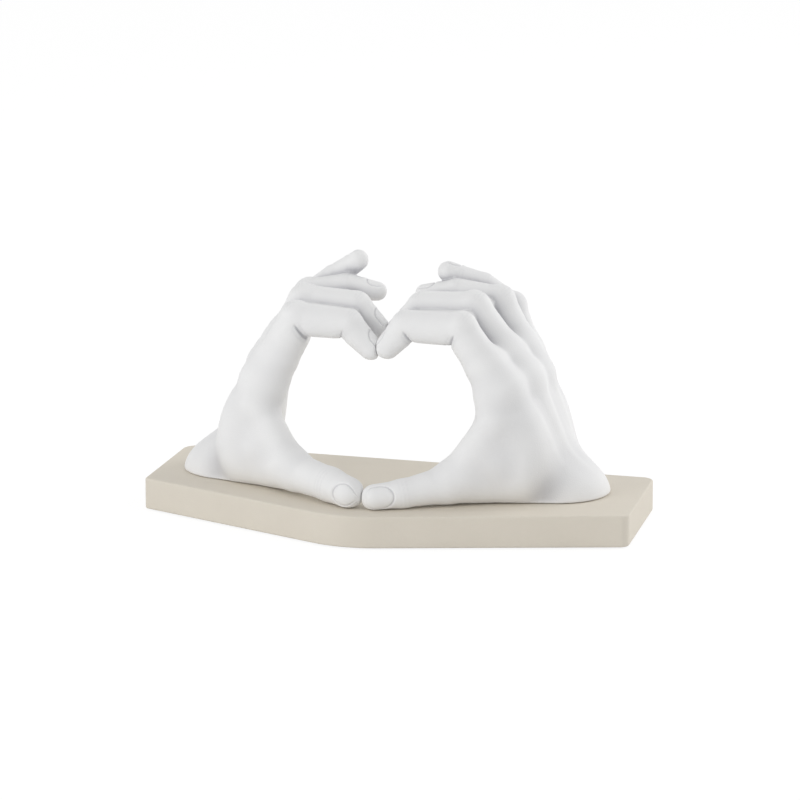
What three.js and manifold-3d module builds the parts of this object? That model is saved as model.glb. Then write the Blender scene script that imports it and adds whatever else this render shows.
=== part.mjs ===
// Two cast hands whose thumbs and index fingers close a heart-shaped window, screwed to a
// five-sided plinth. Millimetres, +Z up; the object stands on z = 0, centred on the plinth's box.
//
// All places below are given in the heart's own frame: x = 0 is the plane where the two hands
// meet, y runs from the thumbs to the little fingers, and z = 0 is the top of the plinth.
// A hand is described by its joints and by how thick the flesh is at each joint. Its skin is the
// surface where a smooth union of rods and ellipsoids round those joints has the value zero.
import * as THREE from "three";
import { mergeVertices } from "three/addons/utils/BufferGeometryUtils.js";
import Module from "manifold-3d";

const wasm = await Module();
wasm.setup();

// Clearance
const GAP = 0.3; // between pieces that touch on the real object

// Plinth: a straight back, two short sides and two front edges that meet in a blunt apex
const PLINTH_BACK_WIDTH = 240.8;
const PLINTH_FRONT_WIDTH = 243.6; // between the two front corners
const PLINTH_DEPTH = 117.2; // from the apex to the back edge
const PLINTH_BACK = 93.3; // y of the back edge
const PLINTH_LEFT_SIDE = 71.8; // how far the left front corner lies before the back edge
const PLINTH_RIGHT_SIDE = 76.1;
const PLINTH_SKEW = 4; // the front corners lie this far to the right, the apex to the left
const PLINTH_CORNER_RADII = { apex: 48, frontRight: 5, backRight: 6, backLeft: 8, frontLeft: 2.5 };
const PLINTH_THICKNESS = 15.4;
const PLINTH_EDGE_SOFTNESS = 0.9;

// Felt pads in shallow recesses under the corners
const PAD_RADIUS = 7;
const PAD_PROUD = 0.8; // how far a pad stands out of its recess
const PAD_RECESS_DEPTH = 1.5;
const PAD_MARGIN = 6; // from a pad's rim to the plinth's edges

// Screws that come up through the plinth, with their washers and cast-in inserts
const SCREW_RADIUS = 2;
const SCREW_HEAD_RADIUS = 3.5;
const SCREW_HEAD_HEIGHT = 4;
const SCREW_SOCKET_RADIUS = 1.7;
const SCREW_SOCKET_DEPTH = 2;
const SOCKET_SIDES = 6;
const SCREW_ENGAGEMENT = 7; // thread length inside the insert
const SCREW_CHAMFER = 0.5;
const COUNTERBORE_DEPTH = 7;
const WASHER_RADIUS = 4.5;
const WASHER_THICKNESS = 0.8;
const INSERT_WALL = 1.2;
const INSERT_LENGTH = 8;
const INSERT_GROOVE_DEPTH = 0.4;
const INSERT_GROOVE_WIDTH = 1.2;
const SCREW_PLACES = { heel: [88, 57], thumb: [63, 31.5] };

// Hands: each finger runs knuckle, middle joint, end joint, tip; `flesh` is the radius at each
const RIGHT = {
  side: 1,
  fingers: {
    index: {
      joints: [[61, 26, 55], [40.5, 26, 83.2], [13.5, 27, 83], [3.6, 27, 71.8]],
      flesh: [9.1, 8.2, 7.5, 5.4],
    },
    middle: {
      joints: [[65, 45, 56], [41.5, 45, 89], [16.4, 45, 88.5], [4.2, 45, 76.8]],
      flesh: [10.4, 8.8, 7.7, 5.6],
    },
    ring: {
      joints: [[65.8, 63, 54.5], [49, 63.5, 89.2], [28, 64, 92.8], [11.6, 64, 91.2]],
      flesh: [9.8, 8.2, 6.7, 4.3],
    },
    little: {
      joints: [[63.4, 77.5, 51], [51.4, 79, 84.2], [38.3, 75, 95.1], [22, 69.5, 101.8]],
      flesh: [8.3, 7, 5.8, 4.7],
    },
  },
  thumb: {
    joints: [[66, 33, 12], [37.5, 13, 10], [19, 1.5, 6.9], [7, -4, 5.5]],
    flesh: [14, 9, 6.7, 6.4],
  },
};
const LEFT = {
  side: -1,
  fingers: {
    index: {
      joints: [[57.5, 26, 52], [40.8, 26, 83.4], [15.4, 27, 82.2], [3.6, 27, 70.6]],
      flesh: [10.4, 8.2, 7.2, 5.2],
    },
    middle: {
      joints: [[60.6, 45, 55], [42.3, 45, 87.4], [17, 45, 86.8], [6, 45, 76.8]],
      flesh: [10, 8.7, 7.7, 5.7],
    },
    ring: {
      joints: [[64, 63, 55], [45.8, 64, 87], [27, 64, 92.2], [11.4, 64, 91.1]],
      flesh: [9.6, 8.2, 6.7, 4.1],
    },
    little: {
      joints: [[67.6, 77, 51], [51, 79, 83], [38, 75, 94.3], [23, 69.5, 105]],
      flesh: [8.2, 7.2, 5.8, 4.6],
    },
  },
  thumb: {
    joints: [[66, 33, 12], [37.5, 13, 10.8], [17, 1.5, 9], [6, -4, 7]],
    flesh: [14, 9.2, 8, 7.6],
  },
};

// The plane where the hands meet
const MEETING_LEAN = 0.0285; // how far it leans to the left, per millimetre of height
const MEETING_LEVEL = 39.4; // height at which it crosses the middle

// Body of the hand, the same for both
const WRIST_ENDS = {
  index: [79.5, 41, 0],
  middle: [84, 50, 0],
  ring: [85, 60, 0],
  little: [82, 68, 0],
};
const WRIST_FLESH = 10.9;
const PALM_FLESH = 10.2; // the most that the palm is thick, as a radius, at a knuckle
const WEB_SPAN = 0.34; // how far up the first phalanx the skin joins two fingers
const WEB_FLESH = [8.3, 8];
const KNUCKLE_WEB_FLESH = [8.4, 8];
const BACK_FLESH = 7.6; // between the metacarpals
const BACK_START = 0.4; // how far up the metacarpals it begins
const CONTACT_FLESH = [4.4, 3.2]; // between middle phalanges that lie against each other
const HEEL = { centre: [88, 54, -2], radii: [19.2, 22, 16.5] };
const LITTLE_SIDE_PAD = { centre: [72.3, 71, 25], radii: [8.7, 11.5, 20] };
const THUMB_PAD = { centre: [69, 30, 24], radii: [12, 12, 20] };
const THUMB_WEBS = [
  { from: [43.6, 15, 16], to: [58.8, 21, 41.5], flesh: [8.5, 6.9] },
  { from: [58.8, 21, 41.5], to: [56.4, 23, 50.5], flesh: [6.9, 7.4] },
  { from: [56, 22, 22], to: [63.3, 28, 40], flesh: [10.5, 8.6] },
];

// Flesh of a finger
const BONE_TAPER = 0.97; // a phalanx starts a little thinner than its joint
const PAD_OFFSETS = [1, 0.8, 1.2]; // how far each finger pad lies from the bone, on the palm side
const PAD_SHARE = 0.9; // a pad's radius as a share of the flesh
const PAD_SPANS = [[0.45, 0.8], [0.28, 0.74], [0.4, 0.95]];
const KNUCKLE_OFFSET = 1.6;
const KNUCKLE_SHARE = 0.86;

// How far the smooth unions reach
const SOFTNESS = {
  pad: 1.6,
  joint: 0.9,
  knuckle: 2.5,
  fingers: 0.8,
  metacarpals: 7.5,
  webs: 5,
  heel: 13.5,
  littleSide: 8,
  thumbJoint: 2.5,
  thumbPad: 10,
  thumbWebs: 6,
  thumbWeb: 7,
  thumbBody: 8,
  hand: 6,
};

// Skin mesh
const SKIN_STEP = 3.9;
const SKIN_SETTLING_STEPS = 3;
const SKIN_LEVEL = 0.12; // the facets cut corners, so the vertices lie this far outside
const SLOPE_PROBE = 0.05; // how far apart the slope of a distance is measured
const VERTEX_FREEDOM = 0.45; // how far a vertex may move while it settles, as a share of the step
const FILLED_DEPTH = 0.05; // how deep a filled corner lies, as a share of the step
const ROUND_SEGMENTS = 24;
const OVERSHOOT = 1; // how far a cutting bar stands out of the face that it opens

const MATERIALS = {
  hand: new THREE.MeshStandardMaterial({ color: "#e9e8e8", roughness: 0.62, metalness: 0 }),
  plinth: new THREE.MeshStandardMaterial({ color: "#d2cbbf", roughness: 0.7, metalness: 0 }),
  felt: new THREE.MeshStandardMaterial({ color: "#5f5b55", roughness: 0.97, metalness: 0 }),
  steel: new THREE.MeshStandardMaterial({ color: "#a9acb0", roughness: 0.38, metalness: 1 }),
  brass: new THREE.MeshStandardMaterial({ color: "#b8934a", roughness: 0.35, metalness: 1 }),
};

const point = (place) => new THREE.Vector3(...place);
const between = (a, b, share) => a.clone().lerp(b, share);
const mix = (a, b, share) => a + (b - a) * share;

// Distance functions: each takes a Vector3 and gives millimetres to the skin, negative inside

/** A rod from a to b whose radius runs from startRadius to endRadius. */
function rod(a, b, startRadius, endRadius) {
  const axis = b.clone().sub(a);
  const lengthSquared = axis.lengthSq();
  const away = new THREE.Vector3();
  return (p) => {
    const along = away.copy(p).sub(a).dot(axis) / lengthSquared;
    const share = THREE.MathUtils.clamp(along, 0, 1);
    return away.addScaledVector(axis, -share).length() - mix(startRadius, endRadius, share);
  };
}

/** An ellipsoid with its radii along x, y and z. */
function ellipsoid({ centre, radii }) {
  const middle = point(centre);
  const size = point(radii);
  const scaled = new THREE.Vector3();
  return (p) => {
    const reach = scaled.copy(p).sub(middle).divide(size).length();
    const slope = scaled.divide(size).length();
    return (reach * (reach - 1)) / Math.max(slope, 1e-6);
  };
}

/** The union of some parts, rounded off where two surfaces lie within `softness` of each other. */
function joined(softness, ...parts) {
  return (p) => {
    let union = parts[0](p);
    for (const part of parts.slice(1)) {
      const distance = part(p);
      const overlap = Math.max(softness - Math.abs(union - distance), 0) / softness;
      union = Math.min(union, distance) - (overlap * overlap * softness) / 4;
    }
    return union;
  };
}

/** One phalanx: a rod with a pad of flesh that lies `offset` to its palm side. */
function phalanx(a, b, startRadius, endRadius, palmSide, offset, [padStart, padEnd]) {
  const bone = rod(a, b, startRadius, endRadius);
  const pad = rod(
    between(a, b, padStart).addScaledVector(palmSide, offset),
    between(a, b, padEnd).addScaledVector(palmSide, PAD_SHARE * offset),
    PAD_SHARE * mix(startRadius, endRadius, padStart),
    PAD_SHARE * mix(startRadius, endRadius, padEnd),
  );
  return joined(SOFTNESS.pad, bone, pad);
}

/** A finger of three phalanges, with a bony knuckle on the back of its middle joint. */
function finger({ joints, flesh }) {
  const places = joints.map(point);
  const directions = [0, 1, 2].map((i) => places[i + 1].clone().sub(places[i]).normalize());
  const hinge = directions[0].clone().cross(directions[2]).normalize();
  const palmSides = directions.map((direction) => hinge.clone().cross(direction));
  const phalanges = directions.map((_, i) =>
    phalanx(
      places[i],
      places[i + 1],
      flesh[i] * (i === 0 ? 1 : BONE_TAPER),
      flesh[i + 1],
      palmSides[i],
      PAD_OFFSETS[i],
      PAD_SPANS[i],
    ),
  );
  const inward = palmSides[0].clone().add(palmSides[1]).normalize();
  const knuckleCentre = places[1].clone().addScaledVector(inward, -KNUCKLE_OFFSET);
  const knuckleRadius = flesh[1] * KNUCKLE_SHARE;
  const knuckle = (p) => p.distanceTo(knuckleCentre) - knuckleRadius;
  const backed = joined(SOFTNESS.knuckle, phalanges[0], knuckle);
  return joined(SOFTNESS.joint, backed, phalanges[1], phalanges[2]);
}

/** Calls make with the joints of each two neighbouring fingers. */
function forNeighbours(fingers, make) {
  const joints = Object.values(fingers).map((digit) => digit.joints.map(point));
  return joints.slice(1).map((far, i) => make(joints[i], far));
}

/** The skin that joins two neighbouring fingers at their roots. */
function web(near, far) {
  const [start, end] = [near, far].map((joints) => between(joints[0], joints[1], WEB_SPAN));
  return rod(start, end, ...WEB_FLESH);
}

/** The flesh between two neighbouring knuckles. */
function knuckleWeb(near, far) {
  return rod(near[0], far[0], ...KNUCKLE_WEB_FLESH);
}

/** Fills in between the middle phalanges of two fingers that lie against each other. */
function contact(near, far) {
  const [start, end] = [1, 2].map((joint) => between(near[joint], far[joint], 0.5));
  return rod(start, end, ...CONTACT_FLESH);
}

/** The palm and the back of the hand, from the wrist to the roots of the fingers. */
function palm(fingers) {
  const bones = Object.entries(fingers).map(([name, { joints, flesh }]) => ({
    start: point(WRIST_ENDS[name]),
    end: point(joints[0]),
    radius: Math.min(flesh[0], PALM_FLESH),
  }));
  const rays = bones.map(({ start, end, radius }) => rod(start, end, WRIST_FLESH, radius));
  const fills = bones.slice(1).map((far, i) => {
    const start = between(bones[i].start, far.start, 0.5);
    const end = between(bones[i].end, far.end, 0.5);
    return rod(between(start, end, BACK_START), end, BACK_FLESH, BACK_FLESH);
  });
  const metacarpals = joined(SOFTNESS.metacarpals, ...rays, ...fills);
  const webs = [...forNeighbours(fingers, web), ...forNeighbours(fingers, knuckleWeb)];
  const body = joined(SOFTNESS.webs, metacarpals, ...webs);
  const heeled = joined(SOFTNESS.heel, body, ellipsoid(HEEL));
  return joined(SOFTNESS.littleSide, heeled, ellipsoid(LITTLE_SIDE_PAD));
}

/** The thumb with its pad and the web that ties it to the palm. */
function thumb({ joints, flesh }) {
  const places = joints.map(point);
  const bones = [0, 1, 2].map((i) => rod(places[i], places[i + 1], flesh[i], flesh[i + 1]));
  const padded = joined(SOFTNESS.thumbPad, joined(SOFTNESS.thumbJoint, ...bones), ellipsoid(THUMB_PAD));
  const tied = THUMB_WEBS.map(({ from, to, flesh: radii }) => rod(point(from), point(to), ...radii));
  return joined(SOFTNESS.thumbWeb, padded, joined(SOFTNESS.thumbWebs, ...tied));
}

/** A whole right-handed hand. */
function handSkin(hand) {
  const digits = Object.values(hand.fingers).map(finger);
  const fingers = joined(SOFTNESS.fingers, ...digits, ...forNeighbours(hand.fingers, contact));
  const body = joined(SOFTNESS.thumbBody, palm(hand.fingers), thumb(hand.thumb));
  return joined(SOFTNESS.hand, fingers, body);
}

// Skin mesh: a grid of cubes is laid over the hand, each cube that the skin passes through gets
// one vertex, and each grid edge that the skin crosses gets one quad

const CORNERS = [0, 1, 2, 3, 4, 5, 6, 7].map((c) => [c & 1, (c >> 1) & 1, (c >> 2) & 1]);
const EDGES = [0, 1, 2, 3, 4, 5, 6, 7].flatMap((c) =>
  [1, 2, 4].filter((bit) => !(c & bit)).map((bit) => [c, c | bit]),
);

/** Whether the chosen corners of a cube hang together along its edges. */
function hangTogether(mask) {
  const chosen = CORNERS.map((_, c) => c).filter((c) => mask & (1 << c));
  const reached = new Set(chosen.slice(0, 1));
  for (const _ of chosen) {
    for (const [a, b] of EDGES) {
      if (!(mask & (1 << a)) || !(mask & (1 << b))) continue;
      if (reached.has(a)) reached.add(b);
      if (reached.has(b)) reached.add(a);
    }
  }
  return reached.size === chosen.length;
}
const ONE_SHEET = Array.from({ length: 256 }, (_, m) => hangTogether(m) && hangTogether(255 - m));

/** The distances on a grid of cubes, with each slot too narrow for the grid filled in. */
function sampleGrid(distance, box, step) {
  const size = box.getSize(new THREE.Vector3()).divideScalar(step).ceil().addScalar(1).toArray();
  const [nx, ny, nz] = size;
  const at = (i, j, k) => (k * ny + j) * nx + i;
  const values = new Float64Array(nx * ny * nz);
  const p = new THREE.Vector3();
  const eachCell = (visit, end) => {
    for (let k = 0; k < nz - end; k++)
      for (let j = 0; j < ny - end; j++) for (let i = 0; i < nx - end; i++) visit(i, j, k);
  };
  eachCell((i, j, k) => {
    p.set(i, j, k).multiplyScalar(step).add(box.min);
    values[at(i, j, k)] = distance(p);
  }, 0);
  const cornersOf = (i, j, k) => CORNERS.map(([a, b, c]) => at(i + a, j + b, k + c));
  const maskOf = (corners) =>
    corners.reduce((mask, corner, c) => mask | (values[corner] < 0 ? 1 << c : 0), 0);
  let filled = true;
  while (filled) {
    filled = false;
    eachCell((i, j, k) => {
      const corners = cornersOf(i, j, k);
      if (ONE_SHEET[maskOf(corners)]) return;
      const outside = corners.filter((corner) => values[corner] >= 0);
      const nearest = outside.reduce((a, b) => (values[a] < values[b] ? a : b));
      values[nearest] = -FILLED_DEPTH * step;
      filled = true;
    }, 1);
  }
  return { size, at, values, eachCell, cornersOf, maskOf };
}

/** Moves p to the place where the distance is `level`, by at most `reach`. */
function settle(p, distance, level, reach) {
  const slope = new THREE.Vector3();
  const shifted = new THREE.Vector3();
  const start = p.clone();
  for (let n = 0; n < SKIN_SETTLING_STEPS; n++) {
    for (const axis of ["x", "y", "z"]) {
      shifted.copy(p)[axis] += SLOPE_PROBE;
      const above = distance(shifted);
      shifted.copy(p)[axis] -= SLOPE_PROBE;
      slope[axis] = (above - distance(shifted)) / (2 * SLOPE_PROBE);
    }
    p.addScaledVector(slope, (level - distance(p)) / Math.max(slope.lengthSq(), 0.1));
    p.sub(start).clampLength(0, reach).add(start);
  }
  return p;
}

/** A closed mesh round the places where the distance is negative. */
function wrap(distance, box, step) {
  const grid = sampleGrid(distance, box, step);
  const vertexOf = new Map();
  const places = [];
  grid.eachCell((i, j, k) => {
    const corners = grid.cornersOf(i, j, k);
    const mask = grid.maskOf(corners);
    if (mask === 0 || mask === 255) return;
    const middle = new THREE.Vector3();
    let crossings = 0;
    for (const [a, b] of EDGES) {
      const [start, end] = [grid.values[corners[a]], grid.values[corners[b]]];
      if (start < 0 === end < 0) continue;
      middle.add(point(CORNERS[a]).lerp(point(CORNERS[b]), start / (start - end)));
      crossings += 1;
    }
    middle.divideScalar(crossings).add(point([i, j, k])).multiplyScalar(step).add(box.min);
    vertexOf.set(corners[0], places.length);
    places.push(settle(middle, distance, SKIN_LEVEL, VERTEX_FREEDOM * step));
  }, 1);

  const triangles = [];
  const steps = [grid.at(1, 0, 0), grid.at(0, 1, 0), grid.at(0, 0, 1)];
  grid.eachCell((i, j, k) => {
    const here = grid.at(i, j, k);
    for (let axis = 0; axis < 3; axis++) {
      const next = here + steps[axis];
      if (grid.values[here] < 0 === grid.values[next] < 0) continue;
      const [u, v] = [steps[(axis + 1) % 3], steps[(axis + 2) % 3]];
      const ring = [here - u - v, here - v, here, here - u].map((cell) => vertexOf.get(cell));
      if (grid.values[here] >= 0) ring.reverse();
      const [a, b, c, d] = ring;
      const even = places[a].distanceTo(places[c]) < places[b].distanceTo(places[d]);
      triangles.push(...(even ? [a, b, c, a, c, d] : [a, b, d, b, c, d]));
    }
  }, 1);
  const geometry = new THREE.BufferGeometry().setFromPoints(places);
  return geometry.setIndex(triangles);
}

// Joining and cutting

function toSolid(geometry) {
  const bare = geometry.clone();
  bare.deleteAttribute("normal");
  bare.deleteAttribute("uv");
  const merged = mergeVertices(bare, 1e-4);
  return new wasm.Manifold(
    new wasm.Mesh({
      numProp: 3,
      vertProperties: new Float32Array(merged.attributes.position.array),
      triVerts: new Uint32Array(merged.index.array),
    }),
  );
}

function toGeometry(solid) {
  const mesh = solid.getMesh();
  const geometry = new THREE.BufferGeometry();
  geometry.setAttribute("position", new THREE.BufferAttribute(mesh.vertProperties, 3));
  geometry.setIndex(new THREE.BufferAttribute(mesh.triVerts, 1));
  geometry.computeVertexNormals();
  return geometry;
}

/** The first geometry with all the others cut out of it. */
function cut(geometry, tools) {
  return toGeometry(tools.reduce((solid, tool) => solid.subtract(toSolid(tool)), toSolid(geometry)));
}

/** An upright round bar with its foot at (x, y, bottom). */
function bar(radius, x, y, bottom, top, segments = ROUND_SEGMENTS) {
  const height = top - bottom;
  return new THREE.CylinderGeometry(radius, radius, height, segments)
    .rotateX(Math.PI / 2)
    .translate(x, y, bottom + height / 2);
}

/** A turned piece from a closed profile of [radius, height] pairs, about a vertical axis. */
function turned(profile) {
  const outline = profile.map(([radius, height]) => new THREE.Vector2(radius, height));
  return new THREE.LatheGeometry(outline, ROUND_SEGMENTS).rotateX(Math.PI / 2);
}

// Heights, from the top of the plinth
const plinthBottom = -PLINTH_THICKNESS;
const handBottom = GAP;
const counterboreTop = plinthBottom + COUNTERBORE_DEPTH;
const washerTop = counterboreTop - GAP;
const washerBottom = washerTop - WASHER_THICKNESS;
const headTop = washerBottom - GAP;
const headBottom = headTop - SCREW_HEAD_HEIGHT;
const screwTop = handBottom + SCREW_ENGAGEMENT;
const insertTop = handBottom + INSERT_LENGTH;
const padTop = plinthBottom + PAD_RECESS_DEPTH - GAP;
const padBottom = plinthBottom - PAD_PROUD;

// Radii that follow from the screw
const screwHoleRadius = SCREW_RADIUS + GAP;
const insertRadius = screwHoleRadius + INSERT_WALL;
const insertBoreRadius = insertRadius + GAP;

/** Each corner of the plinth, from the apex counterclockwise, with the ways of its two edges. */
function plinthCorners() {
  const front = PLINTH_FRONT_WIDTH / 2;
  const back = PLINTH_BACK_WIDTH / 2;
  const corners = {
    apex: [-PLINTH_SKEW, PLINTH_BACK - PLINTH_DEPTH],
    frontRight: [front + PLINTH_SKEW, PLINTH_BACK - PLINTH_RIGHT_SIDE],
    backRight: [back, PLINTH_BACK],
    backLeft: [-back, PLINTH_BACK],
    frontLeft: [-front + PLINTH_SKEW, PLINTH_BACK - PLINTH_LEFT_SIDE],
  };
  const points = Object.values(corners).map(([x, y]) => new THREE.Vector2(x, y));
  return Object.keys(corners).map((name, i) => {
    const here = points[i];
    const [before, after] = [i + points.length - 1, i + 1].map((n) =>
      points[n % points.length].clone().sub(here).normalize(),
    );
    const bisector = before.clone().add(after).normalize();
    const halfAngle = Math.acos(before.dot(after)) / 2;
    // The point that lies `distance` in from both edges
    const inset = (distance) => here.clone().addScaledVector(bisector, distance / Math.sin(halfAngle));
    return { before, after, inset, radius: PLINTH_CORNER_RADII[name] };
  });
}

/** The plinth's outline, counterclockwise, with each corner rounded by an arc. */
function plinthOutline() {
  const shape = new THREE.Shape();
  for (const { before, after, inset, radius } of plinthCorners()) {
    const centre = inset(radius);
    const start = new THREE.Vector2(before.y, -before.x).angle() + Math.PI;
    const end = new THREE.Vector2(after.y, -after.x).angle();
    shape.absarc(centre.x, centre.y, radius, start, end, false);
  }
  return shape;
}

/** Places of the pads, one in each corner. */
function padPlaces() {
  return plinthCorners().map(({ inset }) => inset(PAD_RADIUS + PAD_MARGIN));
}

/** All screws: which hand and end they hold, and where they stand. */
function screwList() {
  return [LEFT, RIGHT].flatMap((hand) =>
    Object.entries(SCREW_PLACES).map(([end, [x, y]]) => ({
      name: `${hand.side < 0 ? "left" : "right"}_${end}`,
      side: hand.side,
      x: hand.side * x,
      y,
    })),
  );
}

function plinth() {
  const board = new THREE.ExtrudeGeometry(plinthOutline(), {
    depth: PLINTH_THICKNESS - 2 * PLINTH_EDGE_SOFTNESS,
    bevelThickness: PLINTH_EDGE_SOFTNESS,
    bevelSize: PLINTH_EDGE_SOFTNESS,
    bevelOffset: -PLINTH_EDGE_SOFTNESS,
    bevelSegments: 3,
    curveSegments: 6,
  }).translate(0, 0, plinthBottom + PLINTH_EDGE_SOFTNESS);
  const recesses = padPlaces().map(({ x, y }) =>
    bar(PAD_RADIUS + GAP, x, y, plinthBottom - OVERSHOOT, plinthBottom + PAD_RECESS_DEPTH),
  );
  const bores = screwList().flatMap(({ x, y }) => [
    bar(WASHER_RADIUS + GAP, x, y, plinthBottom - OVERSHOOT, counterboreTop),
    bar(screwHoleRadius, x, y, plinthBottom - OVERSHOOT, OVERSHOOT),
  ]);
  return cut(board, [...recesses, ...bores]);
}

/** A box that a hand's skin lies well inside of. */
function skinBox(hand) {
  const digits = [...Object.values(hand.fingers), hand.thumb];
  const joints = [...digits.flatMap((digit) => digit.joints), ...Object.values(WRIST_ENDS)];
  const thickest = Math.max(WRIST_FLESH, ...digits.flatMap(({ flesh }) => flesh));
  const box = new THREE.Box3().setFromPoints(joints.map(point)).expandByScalar(thickest);
  for (const { centre, radii } of [HEEL, LITTLE_SIDE_PAD, THUMB_PAD]) {
    const size = point(radii).multiplyScalar(2);
    box.union(new THREE.Box3().setFromCenterAndSize(point(centre), size));
  }
  return box.expandByScalar(SOFTNESS.heel / 2 + SKIN_STEP);
}

/** A hand as a casting: flat where it stands and where it meets the other hand, bored for inserts. */
function casting(hand) {
  const box = skinBox(hand);
  const skin = wrap(handSkin(hand), box, SKIN_STEP);
  const size = 2 * box.getSize(new THREE.Vector3()).length();
  const below = new THREE.BoxGeometry(size, size, size).translate(0, 0, handBottom - size / 2);
  const lean = hand.side * MEETING_LEAN;
  const across = new THREE.BoxGeometry(size, size, size)
    .translate(-size / 2, 0, 0)
    .rotateY(-Math.atan(lean))
    .translate(GAP / 2 + lean * MEETING_LEVEL, 0, 0);
  const bores = Object.values(SCREW_PLACES).map(([x, y]) =>
    bar(insertBoreRadius, x, y, handBottom - OVERSHOOT, insertTop + GAP),
  );
  const geometry = cut(skin, [below, across, ...bores]);
  if (hand.side < 0) {
    geometry.scale(-1, 1, 1);
    geometry.index.array.reverse();
    geometry.computeVertexNormals();
  }
  return geometry;
}

function screw() {
  const body = turned([
    [0, headBottom],
    [SCREW_HEAD_RADIUS - SCREW_CHAMFER / 2, headBottom],
    [SCREW_HEAD_RADIUS, headBottom + SCREW_CHAMFER / 2],
    [SCREW_HEAD_RADIUS, headTop],
    [SCREW_RADIUS, headTop],
    [SCREW_RADIUS, screwTop - SCREW_CHAMFER],
    [SCREW_RADIUS - SCREW_CHAMFER, screwTop],
    [0, screwTop],
  ]);
  const socketTop = headBottom + SCREW_SOCKET_DEPTH;
  return cut(body, [bar(SCREW_SOCKET_RADIUS, 0, 0, headBottom - OVERSHOOT, socketTop, SOCKET_SIDES)]);
}

function washer() {
  const ring = bar(WASHER_RADIUS, 0, 0, washerBottom, washerTop);
  return cut(ring, [bar(screwHoleRadius, 0, 0, washerBottom - OVERSHOOT, washerTop + OVERSHOOT)]);
}

/** A threaded insert, grooved round the outside so that the cast resin keys into it. */
function insert() {
  const groove = insertRadius - INSERT_GROOVE_DEPTH;
  const grooveBottom = handBottom + (INSERT_LENGTH - INSERT_GROOVE_WIDTH) / 2;
  const grooveTop = grooveBottom + INSERT_GROOVE_WIDTH;
  return turned([
    [screwHoleRadius, handBottom],
    [insertRadius, handBottom],
    [insertRadius, grooveBottom],
    [groove, grooveBottom],
    [groove, grooveTop],
    [insertRadius, grooveTop],
    [insertRadius, insertTop],
    [screwHoleRadius, insertTop],
    [screwHoleRadius, handBottom],
  ]);
}

// Assembly

const heart = new THREE.Group();

function place(name, geometry, material, x = 0, y = 0) {
  const mesh = new THREE.Mesh(geometry, material.clone());
  mesh.name = name;
  mesh.position.set(x, y, 0);
  heart.add(mesh);
  return mesh;
}

const board = place("plinth", plinth(), MATERIALS.plinth);
place("left_hand", casting(LEFT), MATERIALS.hand);
place("right_hand", casting(RIGHT), MATERIALS.hand);
for (const { name, x, y } of screwList()) {
  place(`${name}_screw`, screw(), MATERIALS.steel, x, y);
  place(`${name}_washer`, washer(), MATERIALS.steel, x, y);
  place(`${name}_insert`, insert(), MATERIALS.brass, x, y);
}
padPlaces().forEach(({ x, y }, i) => {
  place(`pad_${i + 1}`, bar(PAD_RADIUS, 0, 0, padBottom, padTop), MATERIALS.felt, x, y);
});

const footprint = new THREE.Box3().setFromObject(board);
const middle = footprint.getCenter(new THREE.Vector3());
heart.position.set(-middle.x, -middle.y, -padBottom);

const sculpture = new THREE.Group();
sculpture.add(heart);

export default sculpture;
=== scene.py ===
"""Two cast white hands that close a heart, screwed to a five-sided lacquered plinth on felt pads.

Shapes are worked out in millimetres in the heart's own frame: x = 0 is the plane where the hands
meet, y runs from the thumbs to the little fingers and z = 0 is the top of the plinth. A piece's
mesh is in metres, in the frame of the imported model.
"""

import logging
import math
from dataclasses import dataclass, replace
from enum import Enum

import bpy
import numpy as np
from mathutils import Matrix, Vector, geometry


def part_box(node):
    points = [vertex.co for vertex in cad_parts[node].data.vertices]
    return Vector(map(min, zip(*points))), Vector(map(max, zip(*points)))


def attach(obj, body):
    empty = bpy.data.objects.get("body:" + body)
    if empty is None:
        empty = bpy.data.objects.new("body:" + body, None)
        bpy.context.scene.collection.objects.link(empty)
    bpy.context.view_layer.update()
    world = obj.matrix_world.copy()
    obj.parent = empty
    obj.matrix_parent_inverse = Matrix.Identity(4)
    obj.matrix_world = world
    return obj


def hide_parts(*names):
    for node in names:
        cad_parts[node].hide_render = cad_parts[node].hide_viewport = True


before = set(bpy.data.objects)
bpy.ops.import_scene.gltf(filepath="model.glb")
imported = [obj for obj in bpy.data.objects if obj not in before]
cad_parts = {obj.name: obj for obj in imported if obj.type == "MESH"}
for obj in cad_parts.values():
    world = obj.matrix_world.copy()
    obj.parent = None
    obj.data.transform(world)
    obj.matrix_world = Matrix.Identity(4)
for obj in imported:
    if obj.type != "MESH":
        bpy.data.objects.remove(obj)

LOG = logging.getLogger("hand_sculpture")
Array = np.ndarray
Place = tuple[float, float, float] | np.ndarray

MM = 0.001
GAP = 0.3  # between pieces that touch on the real object


class Slot(Enum):
    """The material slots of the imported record."""

    CAST = "cast_white"
    LACQUER = "plinth_lacquer"
    STEEL = "steel"
    BRASS = "brass"
    FELT = "felt"


# ---- Small helpers on arrays ----


def unit(vector: Array) -> Array:
    """The vector scaled to length 1, along the last axis."""
    vector = np.asarray(vector, float)
    return vector / np.linalg.norm(vector, axis=-1, keepdims=True)


def mix(start: float, end: float, share: float) -> float:
    """The value that lies `share` of the way from start to end."""
    return start + (end - start) * share


def ramp(value: Array, low: float, high: float) -> Array:
    """A smooth step: t*t*(3 - 2t) with t = (value - low) / (high - low), kept within 0 and 1."""
    t = np.clip((value - low) / (high - low), 0, 1)
    return t * t * (3 - 2 * t)


def bell(value: Array, width: float) -> Array:
    """A bell curve exp(-(value / width)^2)."""
    return np.exp(-((value / width) ** 2))


def lengths(vectors: Array) -> Array:
    """The length of each row."""
    return np.sqrt(np.einsum("ij,ij->i", vectors, vectors))


def between(start: Place, end: Place, share: float) -> Array:
    """The place that lies `share` of the way from start to end."""
    return np.asarray(start, float) * (1 - share) + np.asarray(end, float) * share


# ---- Shapes as distance functions ----

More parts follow.
